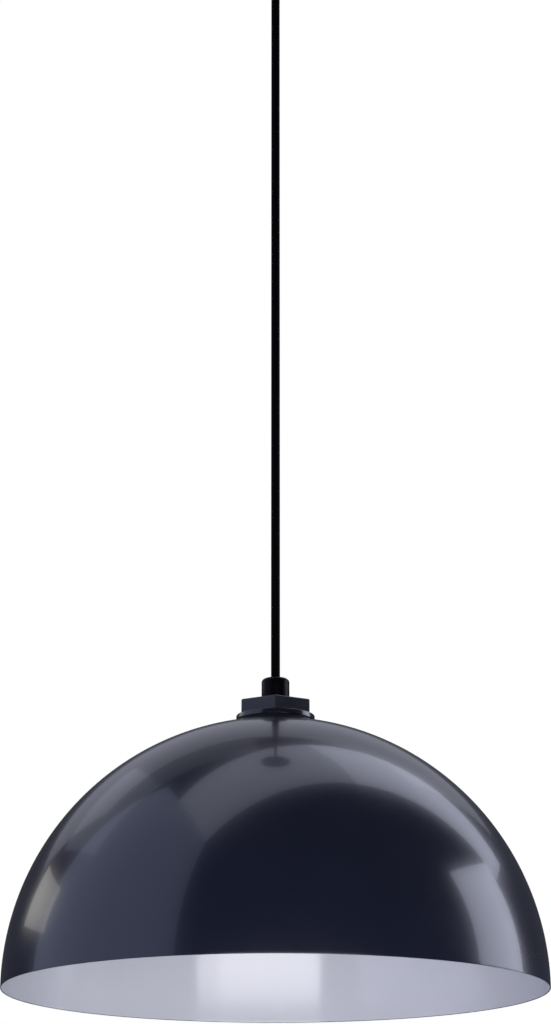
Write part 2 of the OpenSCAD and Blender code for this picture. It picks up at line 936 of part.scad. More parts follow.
// Sealed electronics in the bulb
module bulb_driver() {
    color(earth_green)
        translate([-driver_t / 2, -driver_w / 2, driver_low])
            cube([driver_t, driver_w, driver_top - driver_low]);
}

module bulb_board() {
    color(white) rod(seam_r - board_edge, board_low, board_low + board_t);
}

module bulb_globe() {
    color(white)
        difference() {
            translate([0, 0, bulb_mid]) sphere(r = bulb_r);
            translate([0, 0, bulb_mid]) sphere(r = bulb_r - globe_wall);
            rod(bulb_d, seam_z - eps, seam_z + bulb_d);
        }
}

ceiling_bracket();
terminal_block();
terminal_inserts();
terminal_screws();
block_screws();
earth_screw();
canopy();
side_screws();
side_nuts();
grip_body();
grip_locknut();
grip_insert();
grip_grub_screw();
cord_top_end();
lead_live_top();
lead_neutral_top();
lead_earth_top();
cord_core();
cord_bend();
cord();
gland_cap();
gland_seal();
gland_body();
hex_nut();
top_washer();
top_gasket();
shade();
inner_gasket();
threaded_neck();
cord_clamp();
clamp_screws();
holder_nipple();
nipple_locknut();
holder_cap();
holder_skirt();
holder_core();
screw_shell();
centre_contact();
holder_contacts();
holder_screws();
lead_live_low();
lead_neutral_low();
lead_earth_low();
earth_lug();
bulb_tip_contact();
bulb_base();
bulb_insulator();
bulb_housing();
bulb_driver();
bulb_board();
bulb_globe();
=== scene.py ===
# %% [markdown]
# # A dome pendant light
# A pendant light is a shade on a cord. This one is a half-sphere of spun steel, painted glossy
# navy outside and white inside, and a big hexagonal nut clamps it to the cord's gland. The working
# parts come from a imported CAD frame. We give them finishes, and we model again whatever a plain
# CAD solid leaves out: rolled edges, threads, flutes, knurling and smoothly curved leads.

# %% Load the frame
import json
from math import acos, asin, cos, degrees, hypot, pi, radians, sin, sqrt

import bmesh
import bpy
from mathutils import Matrix, Vector


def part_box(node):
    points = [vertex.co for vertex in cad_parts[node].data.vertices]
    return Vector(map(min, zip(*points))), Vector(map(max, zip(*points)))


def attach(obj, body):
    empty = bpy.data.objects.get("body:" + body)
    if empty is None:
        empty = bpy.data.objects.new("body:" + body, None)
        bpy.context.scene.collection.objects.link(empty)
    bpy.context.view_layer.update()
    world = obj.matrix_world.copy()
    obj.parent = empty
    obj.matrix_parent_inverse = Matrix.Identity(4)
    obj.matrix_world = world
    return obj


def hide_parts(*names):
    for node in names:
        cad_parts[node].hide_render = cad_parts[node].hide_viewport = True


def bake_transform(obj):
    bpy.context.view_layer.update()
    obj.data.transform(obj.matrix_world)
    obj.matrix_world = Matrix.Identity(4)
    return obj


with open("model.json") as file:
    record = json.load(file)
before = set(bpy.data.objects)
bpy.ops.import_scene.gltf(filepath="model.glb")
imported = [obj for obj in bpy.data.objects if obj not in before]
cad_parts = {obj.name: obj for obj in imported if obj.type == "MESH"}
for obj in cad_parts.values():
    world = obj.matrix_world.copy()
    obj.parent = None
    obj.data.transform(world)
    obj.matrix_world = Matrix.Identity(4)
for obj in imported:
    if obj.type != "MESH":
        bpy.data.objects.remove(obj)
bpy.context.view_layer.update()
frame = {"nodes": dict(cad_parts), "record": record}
MM = 0.001


def place_object(name, data):
    """A new object in the scene, made from its data."""
    made = bpy.data.objects.new(name, data)
    bpy.context.collection.objects.link(made)
    return made


# %% [markdown]
# ## Where things are
# Every height comes from the frame's own nodes, so nothing has to be fitted later. The shade is a
# half-sphere, so its box gives its radius and the height of its centre, which is also its rim.

# %% Read the main places from the frame
shade_low, shade_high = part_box("shade")
SHADE_R = (shade_high.x - shade_low.x) / 2
RIM_Z = shade_low.z
print(f"shade radius {SHADE_R:.4f} m, rim at {RIM_Z:.4f} m")

# %% [markdown]
# ## Camera
# The light is seen from a little below its rim, by someone looking slightly up. A long lens keeps
# the rim's ellipse shallow. The distance and the lens go together: they were chosen so that the
# rim just fills the width of the picture.

# %% Camera
CAMERA_BACK = 1.9905
CAMERA_BELOW_RIM = 0.2482
CAMERA_PITCH = 0.2992
CAMERA_LENS = 95.24
camera_data = bpy.data.cameras.new("camera")
camera_data.lens = CAMERA_LENS
camera = place_object("camera", camera_data)
camera.location = (0, -CAMERA_BACK, RIM_Z - CAMERA_BELOW_RIM)
camera.rotation_euler = (pi / 2 + CAMERA_PITCH, 0, 0)
bpy.context.scene.camera = camera
print("camera at", tuple(round(v, 3) for v in camera.location))

# %% [markdown]
# ## Colours as the eye sees them
# The Standard view transform keeps a white background white and a navy paint as deep as it is
# mixed. A filmic transform would lift the navy towards grey.

# %% View transform
bpy.context.scene.view_settings.view_transform = "Standard"
print("view transform", bpy.context.scene.view_settings.view_transform)

# %% [markdown]
# ## Studio lights
# A glossy dark shade shows its room as much as its own colour, so the lights are laid out like a
# photographer's: a tall soft wall on the left, a long soft strip overhead that runs away to the
# back right, a bright window low on the right, and a fill low in front for the white inside. Faint
# glows behind and above keep the dark side from going black. Each one is an area light. Its power
# is worked out from how bright its face should look, because a large soft light and a small one
# then stay comparable.

# %% A softbox helper
def softbox(name, centre, facing, width, height, brightness, colour, top=(0, 0, 1)):
    """A rectangular light whose centre is given from the rim's middle, with its face towards facing."""
    data = bpy.data.lights.new(name, "AREA")
    data.shape = "RECTANGLE"
    data.size, data.size_y = width, height
    data.energy = brightness * pi * width * height
    data.color = colour
    back = -Vector(facing).normalized()
    side = Vector(top).cross(back).normalized()
    lamp = place_object(name, data)
    frame_axes = Matrix((side, back.cross(side), back)).transposed()
    lamp.matrix_world = Matrix.Translation(Vector(centre) + Vector((0, 0, RIM_Z))) @ frame_axes.to_4x4()
    lamp.visible_camera = False
    print(f"{name}: {width:.2f} x {height:.2f} m, {data.energy:.0f} W")


# %% [markdown]
# The strip overhead lies along a slanted line, about 37 degrees from the picture's plane. That is
# what bends its reflection into the long arch across the shoulder of the shade.

# %% Place the softboxes
COOL = (0.78, 0.81, 1.0)
WALL_BLUE = (0.64, 0.70, 1.0)
GLOW_BLUE = (0.82, 0.84, 1.0)
WARM = (1.0, 0.97, 0.93)
FILL_WHITE = (0.97, 0.97, 1.0)
DOWN, RIGHT, LEFT, FILL_FACING = (0, 0, -1), (1, 0, 0), (-1, 0, 0), (0, 1, 0.35)
WALL_X = -2.0
WINDOW_X = 2.2
CEILING_H = 3.92
GLOW_H = CEILING_H + 0.1
STRIP_W = 1.81
STRIP_ANGLE = radians(37)
along = Vector((cos(STRIP_ANGLE), sin(STRIP_ANGLE), 0))
softbox("wall_left", (WALL_X, -0.75, 1.35), RIGHT, 3.27, 5.1, 0.82, WALL_BLUE)
softbox("strip_far", (3.62, 3.035, CEILING_H), DOWN, STRIP_W, 6.6, 2.3, COOL, along)
softbox("window_right", (WINDOW_X, 0.58, 0.75), LEFT, 1.30, 1.48, 3.6, COOL)
softbox("window_foot", (WINDOW_X, 1.05, -0.55), LEFT, 0.7, 1.1, 2.6, COOL)
softbox("kicker_left", (-2.07, 1.29, 0.94), (2.07, -1.29, -0.94), 0.95, 0.5, 1.5, WARM)
softbox("back_glow", (-0.5, 3.2, 3.1), (0, -0.7, -0.7), 6.0, 2.4, 0.5, GLOW_BLUE)
softbox("glow_far", (-3.7, 2.85, GLOW_H), DOWN, 3.0, 3.3, 0.46, COOL, (0, 1, 0))
softbox("glow_near", (-1.25, 1.75, GLOW_H), DOWN, 1.9, 1.1, 0.24, COOL, (0, 1, 0))
softbox("fill_low", (0.13, -2.05, -0.95), FILL_FACING, 1.95, 1.75, 4.4, FILL_WHITE)
softbox("fill_side", (1.37, -2.05, -0.95), FILL_FACING, 0.53, 1.75, 3.2, FILL_WHITE)

# %% [markdown]
# The near half of the strip ends at the left wall. It is cut into narrow bands, each as long as the
# wall allows, so that its end follows the wall although every band is a plain rectangle.

# %% The near end of the strip
BANDS = 10
NEAR_BRIGHTNESS = 1.35
JOIN = Vector((0.97, 1.047, 0))
across_strip = Vector((-along.y, along.x, 0))
for band in range(BANDS):
    aside = STRIP_W * ((band + 0.5) / BANDS - 0.5)
    start = JOIN + across_strip * aside
    reach = (start.x - WALL_X) / along.x
    middle = start - along * reach / 2
    softbox(f"strip_near_{band}", (middle.x, middle.y, CEILING_H), DOWN, STRIP_W / BANDS, reach,
            NEAR_BRIGHTNESS, COOL, along)

# %% [markdown]
# The world is white where the camera looks past the light, as on a catalogue page, and a dim blue
# grey for every other ray, so that the paint doesn't turn milky. Two small helpers, one for nodes
# and one for links, keep this and every later shader short.

# %% World
def add_node(tree, kind, values=None, **settings):
    """A shader node in a tree, with its settings and the values of some of its inputs."""
    node = tree.nodes.new("ShaderNode" + kind)
    for setting, value in settings.items():
        setattr(node, setting, value)
    for socket, value in (values or {}).items():
        node.inputs[socket].default_value = value
    return node


def connect(tree, *links):
    """Links each output socket to its input socket."""
    for source, target in links:
        tree.links.new(source, target)


PAGE_WHITE = (1, 1, 1, 1)
AMBIENT = (0.05, 0.052, 0.065, 1)
world = bpy.data.worlds.new("studio")
bpy.context.scene.world = world
world.use_nodes = True
world.node_tree.nodes.clear()
seen = add_node(world.node_tree, "Background", {"Color": PAGE_WHITE})
ambient = add_node(world.node_tree, "Background", {"Color": AMBIENT})
choose = add_node(world.node_tree, "MixShader")
rays = add_node(world.node_tree, "LightPath")
world_out = add_node(world.node_tree, "OutputWorld")
connect(
    world.node_tree,
    (rays.outputs["Is Camera Ray"], choose.inputs["Fac"]),
    (ambient.outputs["Background"], choose.inputs[1]),
    (seen.outputs["Background"], choose.inputs[2]),
    (choose.outputs["Shader"], world_out.inputs["Surface"]))
print("world ready")

# %% [markdown]
# ## Shader node groups
# Three effects come back on almost every finish, so each is a group with named inputs. "Mottle"
# varies colour and gloss slowly over the surface, because no real paint or moulding is perfectly
# even. "Fine grain" gives a height for a bump. "Edge rub" is a mask along convex edges, where a
# finish wears thin first.

# %% A helper that starts a node group
def start_group(name, inputs, outputs):
    """A new shader node group with its sockets, and its input and output nodes."""
    tree = bpy.data.node_groups.new(name, "ShaderNodeTree")
    for label, kind, value in inputs:
        socket = tree.interface.new_socket(label, in_out="INPUT", socket_type=kind)
        socket.default_value = value
    for label, kind in outputs:
        tree.interface.new_socket(label, in_out="OUTPUT", socket_type=kind)
    return tree, tree.nodes.new("NodeGroupInput"), tree.nodes.new("NodeGroupOutput")


FLOAT, COLOUR = "NodeSocketFloat", "NodeSocketColor"

# %% [markdown]
# Mottle mixes two colours by a soft noise, and moves the roughness between two values by the same
# noise, so that the duller patches are also the lighter ones, as on a handled surface.

# %% The mottle group
mottle, mottle_in, mottle_out = start_group(
    "Mottle",
    [("Colour", COLOUR, (1, 1, 1, 1)), ("Second colour", COLOUR, (1, 1, 1, 1)),
     ("Scale", FLOAT, 40.0), ("Roughness low", FLOAT, 0.2), ("Roughness high", FLOAT, 0.3)],
    [("Colour", COLOUR), ("Roughness", FLOAT)])
place = add_node(mottle, "TexCoord")
cloud = add_node(mottle, "TexNoise", {"Detail": 4.0, "Roughness": 0.6})
spread = add_node(mottle, "MapRange", {"From Min": 0.35, "From Max": 0.65})
tint = add_node(mottle, "Mix", data_type="RGBA")
gloss = add_node(mottle, "MapRange")
connect(
    mottle,
    (place.outputs["Object"], cloud.inputs["Vector"]),
    (mottle_in.outputs["Scale"], cloud.inputs["Scale"]),
    (cloud.outputs["Fac"], spread.inputs["Value"]),
    (spread.outputs["Result"], tint.inputs["Factor"]),
    (mottle_in.outputs["Colour"], tint.inputs[6]),
    (mottle_in.outputs["Second colour"], tint.inputs[7]),
    (spread.outputs["Result"], gloss.inputs["Value"]),
    (mottle_in.outputs["Roughness low"], gloss.inputs["To Min"]),
    (mottle_in.outputs["Roughness high"], gloss.inputs["To Max"]),
    (tint.outputs[2], mottle_out.inputs["Colour"]),
    (gloss.outputs["Result"], mottle_out.inputs["Roughness"]))
print("group", mottle.name)

# %% [markdown]
# Fine grain is a height only. Stretched along Z it draws the marks of a lathe or a drawn strip.

# %% The fine grain group
grain, grain_in, grain_out = start_group(
    "Fine grain",
    [("Scale", FLOAT, 900.0), ("Stretch", FLOAT, 1.0)],
    [("Height", FLOAT)])
grain_place = add_node(grain, "TexCoord")
stretch_by = add_node(grain, "CombineXYZ", {"X": 1.0, "Y": 1.0})
stretched = add_node(grain, "VectorMath", operation="MULTIPLY")
speckle = add_node(grain, "TexNoise", {"Detail": 2.0})
connect(
    grain,
    (grain_in.outputs["Stretch"], stretch_by.inputs["Z"]),
    (grain_place.outputs["Object"], stretched.inputs[0]),
    (stretch_by.outputs["Vector"], stretched.inputs[1]),
    (stretched.outputs["Vector"], speckle.inputs["Vector"]),
    (grain_in.outputs["Scale"], speckle.inputs["Scale"]),
    (speckle.outputs["Fac"], grain_out.inputs["Height"]))
print("group", grain.name)

# %% [markdown]
# Edge rub reads how convex the mesh is at each point, and breaks the line up with noise, because
# an even outline looks drawn.

# %% The edge rub group
rub, rub_in, rub_out = start_group(
    "Edge rub", [("Amount", FLOAT, 0.5), ("Scale", FLOAT, 300.0)], [("Mask", FLOAT)])
shape = add_node(rub, "NewGeometry")
convex = add_node(rub, "MapRange", {"From Min": 0.52, "From Max": 0.62})
rub_place = add_node(rub, "TexCoord")
chips = add_node(rub, "TexNoise", {"Detail": 5.0})
chipped = add_node(rub, "Math", operation="MULTIPLY")
amount = add_node(rub, "Math", operation="MULTIPLY")
connect(
    rub,
    (shape.outputs["Pointiness"], convex.inputs["Value"]),
    (rub_place.outputs["Object"], chips.inputs["Vector"]),
    (rub_in.outputs["Scale"], chips.inputs["Scale"]),
    (convex.outputs["Result"], chipped.inputs[0]),
    (chips.outputs["Fac"], chipped.inputs[1]),
    (chipped.outputs["Value"], amount.inputs[0]),
    (rub_in.outputs["Amount"], amount.inputs[1]),
    (amount.outputs["Value"], rub_out.inputs["Mask"]))
print("group", rub.name)

# %% [markdown]
# ## Finishes
# One function mixes every finish from the groups above. What is the same all over a surface, such
# as metalness or a clear coat's own smoothness, is set on the shader itself.

# %% The finish mixer
FINISHES = {}


def finish(name, colour, second, low, high, scale=40.0, grain_scale=900.0, grain_depth=0.0,
           stretch=1.0, rubbed=None, rub_amount=0.0, **fixed):
    """A Principled material whose colour and roughness vary, with optional grain and rubbed edges."""
    material = bpy.data.materials.new(name)
    material.use_nodes = True
    tree = material.node_tree
    shader = tree.nodes["Principled BSDF"]
    for socket, value in fixed.items():
        shader.inputs[socket.replace("_", " ")].default_value = value
    base = add_node(
        tree, "Group", {"Colour": (*colour, 1), "Second colour": (*second, 1), "Scale": scale,
                        "Roughness low": low, "Roughness high": high}, node_tree=mottle)
    shown = base.outputs["Colour"]
    if rubbed is not None:
        edge = add_node(tree, "Group", {"Amount": rub_amount}, node_tree=rub)
        worn = add_node(tree, "Mix", {7: (*rubbed, 1)}, data_type="RGBA")
        connect(tree, (edge.outputs["Mask"], worn.inputs["Factor"]), (shown, worn.inputs[6]))
        shown = worn.outputs[2]
    connect(tree, (shown, shader.inputs["Base Color"]),
            (base.outputs["Roughness"], shader.inputs["Roughness"]))
    if grain_depth:
        fine = add_node(tree, "Group", {"Scale": grain_scale, "Stretch": stretch}, node_tree=grain)
        bump = add_node(tree, "Bump", {"Distance": grain_depth, "Strength": 1.0})
        connect(tree, (fine.outputs["Height"], bump.inputs["Height"]),
                (bump.outputs["Normal"], shader.inputs["Normal"]))
    FINISHES[name] = material
    return material


# %% [markdown]
# The navy is a stoved gloss enamel: almost black pigment under a hard clear film. The film gives
# the sharp reflections, and a very shallow long-wave bump keeps them from looking like glass. The
# inside is a white enamel over the marks of spinning, which run round the axis and so stretch
# every reflection up and down. The cap and the nut wear the same navy enamel, but both carry
# painted light: the cap is painted almost black with little gloss, a painted dark reflection of the
# room, and the nut is painted a lighter, duller navy, painted light that keeps its shaded faces
# from going black.

# %% Paints
navy_paint = finish(
    "navy_paint", (0.0060, 0.0073, 0.0180), (0.0070, 0.0085, 0.0205), 0.20, 0.24, scale=12.0,
    grain_scale=220.0, grain_depth=0.00001, rubbed=(0.05, 0.055, 0.08), rub_amount=0.25,
    Coat_Weight=0.35, Coat_Roughness=0.05)
white_paint = finish(
    "white_paint", (0.535, 0.54, 0.59), (0.555, 0.56, 0.61), 0.17, 0.20, scale=10.0,
    grain_scale=260.0, grain_depth=0.00001, Specular_IOR_Level=1.0, Anisotropic=0.9,
    Anisotropic_Rotation=0.25)
white_tree = white_paint.node_tree
round_axis = add_node(white_tree, "Tangent", direction_type="RADIAL", axis="Z")
connect(white_tree, (round_axis.outputs["Tangent"], white_tree.nodes["Principled BSDF"].inputs["Tangent"]))
# Painted dark reflection: the cap's glossy navy enamel is painted almost black with little gloss, and a navy
# sheen lights its edges.
cap_painted_dark_reflection = finish(
    "cap_painted_dark_reflection", (0.0008, 0.0008, 0.0012), (0.0012, 0.0012, 0.0018), 0.3, 0.36, scale=80.0,
    grain_scale=1200.0, grain_depth=0.00001, Specular_IOR_Level=0.08, Sheen_Weight=0.35,
    Sheen_Roughness=0.25, Sheen_Tint=(0.10, 0.12, 0.28, 1.0))
# Painted light: the nut's navy enamel is painted lighter and duller than the shade's, so its shaded faces
# don't go black.
nut_navy_painted_light = finish(
    "nut_navy_painted_light", (0.016, 0.018, 0.026), (0.020, 0.022, 0.031), 0.30, 0.36, scale=60.0,
    grain_depth=0.00001, rubbed=(0.06, 0.065, 0.09), rub_amount=0.25,
    Specular_IOR_Level=0.45)
print("paints ready")

# %% [markdown]
# Metals: zinc-plated steel is grey with a slight blue, brass is warm, and both carry fine drawing
# marks. Copper shows only at the cord's core.

# %% Metals
zinc_steel = finish(
    "zinc_steel", (0.55, 0.56, 0.58), (0.66, 0.67, 0.68), 0.28, 0.42, scale=90.0,
    grain_scale=700.0, grain_depth=0.00001, stretch=0.1, rubbed=(0.8, 0.8, 0.8), rub_amount=0.4,
    Metallic=1.0)
brass = finish(
    "brass", (0.74, 0.52, 0.20), (0.82, 0.62, 0.28), 0.24, 0.38, scale=80.0,
    grain_scale=700.0, grain_depth=0.00001, stretch=0.1, Metallic=1.0)
finish("copper", (0.72, 0.34, 0.18), (0.80, 0.42, 0.24), 0.3, 0.4, Metallic=1.0)
bulb_metal = finish(
    "bulb_metal", (0.70, 0.71, 0.73), (0.80, 0.80, 0.81), 0.22, 0.36, scale=120.0,
    grain_scale=800.0, grain_depth=0.00001, stretch=0.1, Metallic=1.0)
print("metals ready")

# %% [markdown]
# Rubber and plastics: the cord's jacket is smooth black flex with a low sheen, the seals are
# matt, and the lampholder is a hard glossy white moulding.

# %% Rubber and plastics
cord_jacket = finish(
    "cord_jacket", (0.0006, 0.0006, 0.0008), (0.0010, 0.0010, 0.0012), 0.5, 0.6, scale=60.0,
    grain_scale=2500.0, grain_depth=0.00002, Specular_IOR_Level=0.03)
black_rubber = finish(
    "black_rubber", (0.006, 0.006, 0.007), (0.010, 0.010, 0.011), 0.6, 0.75, scale=120.0,
    grain_scale=2200.0, grain_depth=0.00004, Specular_IOR_Level=0.3)
white_plastic = finish(
    "white_plastic", (0.80, 0.80, 0.79), (0.84, 0.84, 0.83), 0.22, 0.30, scale=60.0,
    grain_scale=1400.0, grain_depth=0.00001)
bulb_white = finish(
    "bulb_white", (0.82, 0.82, 0.81), (0.86, 0.86, 0.85), 0.32, 0.42, scale=70.0,
    grain_scale=1600.0, grain_depth=0.00002)
finish(
    "porcelain", (0.80, 0.78, 0.73), (0.86, 0.84, 0.80), 0.12, 0.22, scale=80.0,
    grain_scale=900.0, grain_depth=0.00003, Coat_Weight=0.4, Coat_Roughness=0.05)
finish(
    "black_glass", (0.010, 0.010, 0.012), (0.014, 0.014, 0.016), 0.08, 0.14,
    grain_scale=600.0, grain_depth=0.00002)
opal = finish(
    "opal", (0.86, 0.86, 0.85), (0.90, 0.90, 0.89), 0.26, 0.34, scale=25.0,
    grain_scale=1200.0, grain_depth=0.00001, Subsurface_Weight=0.4, Subsurface_Scale=0.01)
finish(
    "circuit_green", (0.02, 0.16, 0.06), (0.03, 0.20, 0.08), 0.3, 0.45, scale=300.0,
    grain_scale=900.0, grain_depth=0.00005)
finish("board_white", (0.78, 0.78, 0.76), (0.83, 0.83, 0.81), 0.4, 0.5, scale=200.0)
print("plastics ready")

# %% [markdown]
# The leads have coloured insulation: brown, blue, and green with a yellow stripe. The stripe is a
# wave texture that wraps round the lead.

# %% Lead insulation
SLEEVING = {"scale": 200.0, "grain_scale": 2500.0, "grain_depth": 0.00002}
STRIPE_SCALE = 110.0
lead_brown = finish("lead_brown", (0.16, 0.06, 0.022), (0.20, 0.08, 0.03), 0.35, 0.45, **SLEEVING)
lead_blue = finish("lead_blue", (0.03, 0.12, 0.42), (0.04, 0.15, 0.50), 0.35, 0.45, **SLEEVING)
lead_green_yellow = finish(
    "lead_green_yellow", (0.10, 0.34, 0.05), (0.13, 0.40, 0.06), 0.35, 0.45, **SLEEVING)


def add_stripe(material, colour):
    """Mixes a second insulation colour into a lead's material as a broad stripe."""
    tree = material.node_tree
    shader = tree.nodes["Principled BSDF"]
    base = shader.inputs["Base Color"].links[0].from_socket
    where = add_node(tree, "TexCoord")
    stripes = add_node(tree, "TexWave", {"Scale": STRIPE_SCALE})
    edge = add_node(tree, "MapRange", {"From Min": 0.55, "From Max": 0.65})
    both = add_node(tree, "Mix", {7: (*colour, 1)}, data_type="RGBA")
    connect(tree, (where.outputs["Object"], stripes.inputs["Vector"]),
            (stripes.outputs["Fac"], edge.inputs["Value"]),
            (edge.outputs["Result"], both.inputs["Factor"]), (base, both.inputs[6]),
            (both.outputs[2], shader.inputs["Base Color"]))


add_stripe(lead_green_yellow, (0.75, 0.62, 0.03))
print("leads ready")

# %% [markdown]
# ## Finishes on the CAD nodes
# Each CAD node that keeps its own shape takes its finish here, from the material slot that the
# record gives it. The finishes have the slots' names, so one loop serves them all.

# %% Paint the CAD nodes
slot_of = {part["node"]: part["material_slot"] for part in frame["record"]["subparts"]}
for node_name, cad_object in frame["nodes"].items():
    for index in range(len(cad_object.material_slots)):
        cad_object.material_slots[index].material = FINISHES[slot_of[node_name]]
print(len(slot_of), "CAD nodes painted")

# %% [markdown]
# ## The cord
# The cord is taut, so it is one straight run from just under the grip's bell-mouth down to the
# clamp in the neck. It is made as a curve with a round section: the curve's own line is its
# centreline, and its length can be checked against the real one.

# %% The cord
cord_box_low, cord_box_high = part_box("cord")
CORD_R = (cord_box_high.x - cord_box_low.x) / 2
cord_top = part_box("cord_bend")[0].z
cord_low = cord_box_low.z
CORD_POINTS = 30
cord_curve = bpy.data.curves.new("cord_run", "CURVE")
cord_curve.dimensions = "3D"
cord_curve.bevel_depth = CORD_R
cord_curve.bevel_resolution = 10
cord_curve.use_fill_caps = True
cord_line = cord_curve.splines.new("POLY")
cord_line.points.add(CORD_POINTS - 1)
for step, point in enumerate(cord_line.points):
    point.co = (0, 0, cord_top + (cord_low - cord_top) * step / (CORD_POINTS - 1), 1)
cord_run = place_object("cord_run", cord_curve)
cord_curve.materials.append(cord_jacket)
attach(cord_run, "lamp")
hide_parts("cord")
print(f"cord {cord_top - cord_low:.3f} m long, {2 * CORD_R / MM:.1f} mm thick")

# %% [markdown]
# ## Mesh helpers
# Most pieces are turned on a lathe, so most meshes are a profile spun round the Z axis. An arc
# helper rounds the profile's corners, because a real edge always catches a line of light.

# %% Arc and piece helpers
CLEAR = 0.02 * MM      # keeps two skins that meet from lying in the same surface


def arc(centre_r, centre_z, radius, start, end, steps=8):
    """Points along an arc in a profile, angles in degrees from the outward direction."""
    return [
        (centre_r + radius * cos(radians(start + (end - start) * i / steps)),
         centre_z + radius * sin(radians(start + (end - start) * i / steps)))
        for i in range(steps + 1)
    ]


def soften(bm, sharp_angle=35):
    """Smooth shading, but with every crease sharper than the angle kept crisp."""
    limit = radians(sharp_angle)
    for face in bm.faces:
        face.smooth = True
    for edge in bm.edges:
        edge.smooth = not (edge.is_boundary or edge.calc_face_angle(0.0) > limit)


def add_piece(name, bm, body, *materials, stands_for):
    """Turns a bmesh into a piece that stands for CAD nodes, and rides on a body if one is named."""
    mesh = bpy.data.meshes.new(name)
    bmesh.ops.recalc_face_normals(bm, faces=bm.faces)
    soften(bm)
    bm.to_mesh(mesh)
    bm.free()
    piece = place_object(name, mesh)
    for material in materials:
        mesh.materials.append(material)
    if body:
        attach(piece, body)
    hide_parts(*stands_for)
    print(f"{name}: {len(mesh.vertices)} points")
    return piece


# %% [markdown]
# Every solid below is a skin over a row of loops, each joined to the next and the last back to the
# first. The lathe is the plainest case: its loops are copies of one profile, turned round Z. A
# shape function may move each point as it is spun, which makes ribs and threads.

# %% Skin and lathe
SAME_POINT = 0.0005 * MM


def skin(loops, bands=None):
    """A closed bmesh whose loops of points, all with the same count, are joined in turn."""
    bm = bmesh.new()
    rows = [[bm.verts.new(point) for point in loop] for loop in loops]
    count = len(rows[0])
    for k, here in enumerate(rows):
        there = rows[(k + 1) % len(rows)]
        for i in range(count):
            j = (i + 1) % count
            face = bm.faces.new((here[i], here[j], there[j], there[i]))
            if bands:
                face.material_index = bands(i)
    bmesh.ops.remove_doubles(bm, verts=bm.verts, dist=SAME_POINT)
    return bm


def lathe(profile, segments=96, shape=None, bands=None):
    """A closed bmesh of a profile of (radius, height) points spun round Z, in metres."""
    loops = []
    for k in range(segments):
        turn = 2 * pi * k / segments
        loop = []
        for r, z in profile:
            if shape:
                r = shape(r, z, turn)
            loop.append((r * cos(turn), r * sin(turn), z))
        loops.append(loop)
    return skin(loops, bands)


def along_z(r, start, end, step):
    """Points up or down a straight wall of a profile, close enough together to carry a thread."""
    count = max(1, round(abs(end - start) / step))
    return [(r, start + (end - start) * i / count) for i in range(count + 1)]


# %% [markdown]
# ## The shade
# The real shade is spun from one steel disc over a half-round former, so it is one sheet of even
# thickness. Its profile is two arcs, one sheet apart, joined by a rounded lip at the rim and a
# trimmed hole at the crown. The navy is sprayed from outside and turns over the lip, so the lip
# counts as outside.

# %% The shade
SHEET = 0.8 * MM
NECK_R = 16.0 * MM
HOLE_R = NECK_R + 0.3 * MM
SHADE_STEPS = 120


def dome_arc(radius):
    """Points on the half-sphere, from just above the rim up to the crown's hole."""
    end = acos(HOLE_R / radius)
    return [(radius * cos(end * i / SHADE_STEPS), RIM_Z + radius * sin(end * i / SHADE_STEPS))
            for i in range(1, SHADE_STEPS + 1)]


lip = arc(SHADE_R - SHEET / 2, RIM_Z + SHEET / 2, SHEET / 2, 180, 360, 10)
outside, inside = dome_arc(SHADE_R), dome_arc(SHADE_R - SHEET)[::-1]
first_inside = len(lip) + len(outside)
add_piece(
    "shade_spun", lathe(lip + outside + inside, 288, bands=lambda i: int(i >= first_inside)),
    "lamp", navy_paint, white_paint, stands_for=("shade",))

# %% [markdown]
# ## The stack on the crown
# A rubber ring, a thick washer and a big nut clamp the shade, and the gland's cap stands on top.
# The washer and the nut are turned and milled steel under the same enamel, so their edges are
# eased and catch a thin line of light. The rubber ring squeezes out a little below the washer.

# %% Washer and rubber ring
washer_low, washer_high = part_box("top_washer")
WASHER_R = washer_high.x
EDGE = 0.8 * MM
LOW_EDGE = 0.4 * MM
BREAK = 0.2 * MM
add_piece(
    "washer_turned",
    lathe([(HOLE_R, washer_low.z + BREAK), (HOLE_R + BREAK, washer_low.z)]
          + arc(WASHER_R - LOW_EDGE, washer_low.z + LOW_EDGE, LOW_EDGE, -90, 0)
          + arc(WASHER_R - EDGE, washer_high.z - EDGE, EDGE, 0, 90)
          + [(HOLE_R + BREAK, washer_high.z), (HOLE_R, washer_high.z - BREAK)], 192),
    "lamp", navy_paint, stands_for=("top_washer",))

gasket_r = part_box("top_gasket")[1].x
LIP = 0.5 * MM


def dome_height(r):
    """Height of the shade's outside at a distance from its axis."""
    return RIM_Z + sqrt(SHADE_R ** 2 - r ** 2)


under = [HOLE_R + (gasket_r - LIP - HOLE_R) * i / 12 for i in range(13)]
foot_z = dome_height(gasket_r)
add_piece(
    "gasket_ring",
    lathe([(r, dome_height(r)) for r in under]
          + [(gasket_r - 0.1 * MM, foot_z + 0.4 * MM), (gasket_r, foot_z + 1.0 * MM)]
          + arc(gasket_r - LIP, washer_low.z - LIP, LIP, 0, 90) + [(HOLE_R, washer_low.z)], 192),
    "lamp", black_rubber, stands_for=("top_gasket",))

# %% [markdown]
# The nut is a stack of rounded hexagons. Each level has its own inset, so the vertical corners and
# the top and bottom edges are all eased, and the loop goes down through the bore and closes below.

# %% The hexagonal nut
nut_low, nut_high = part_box("hex_nut")
NUT_APOTHEM = nut_high.x
NUT_CORNER = 1.4 * MM


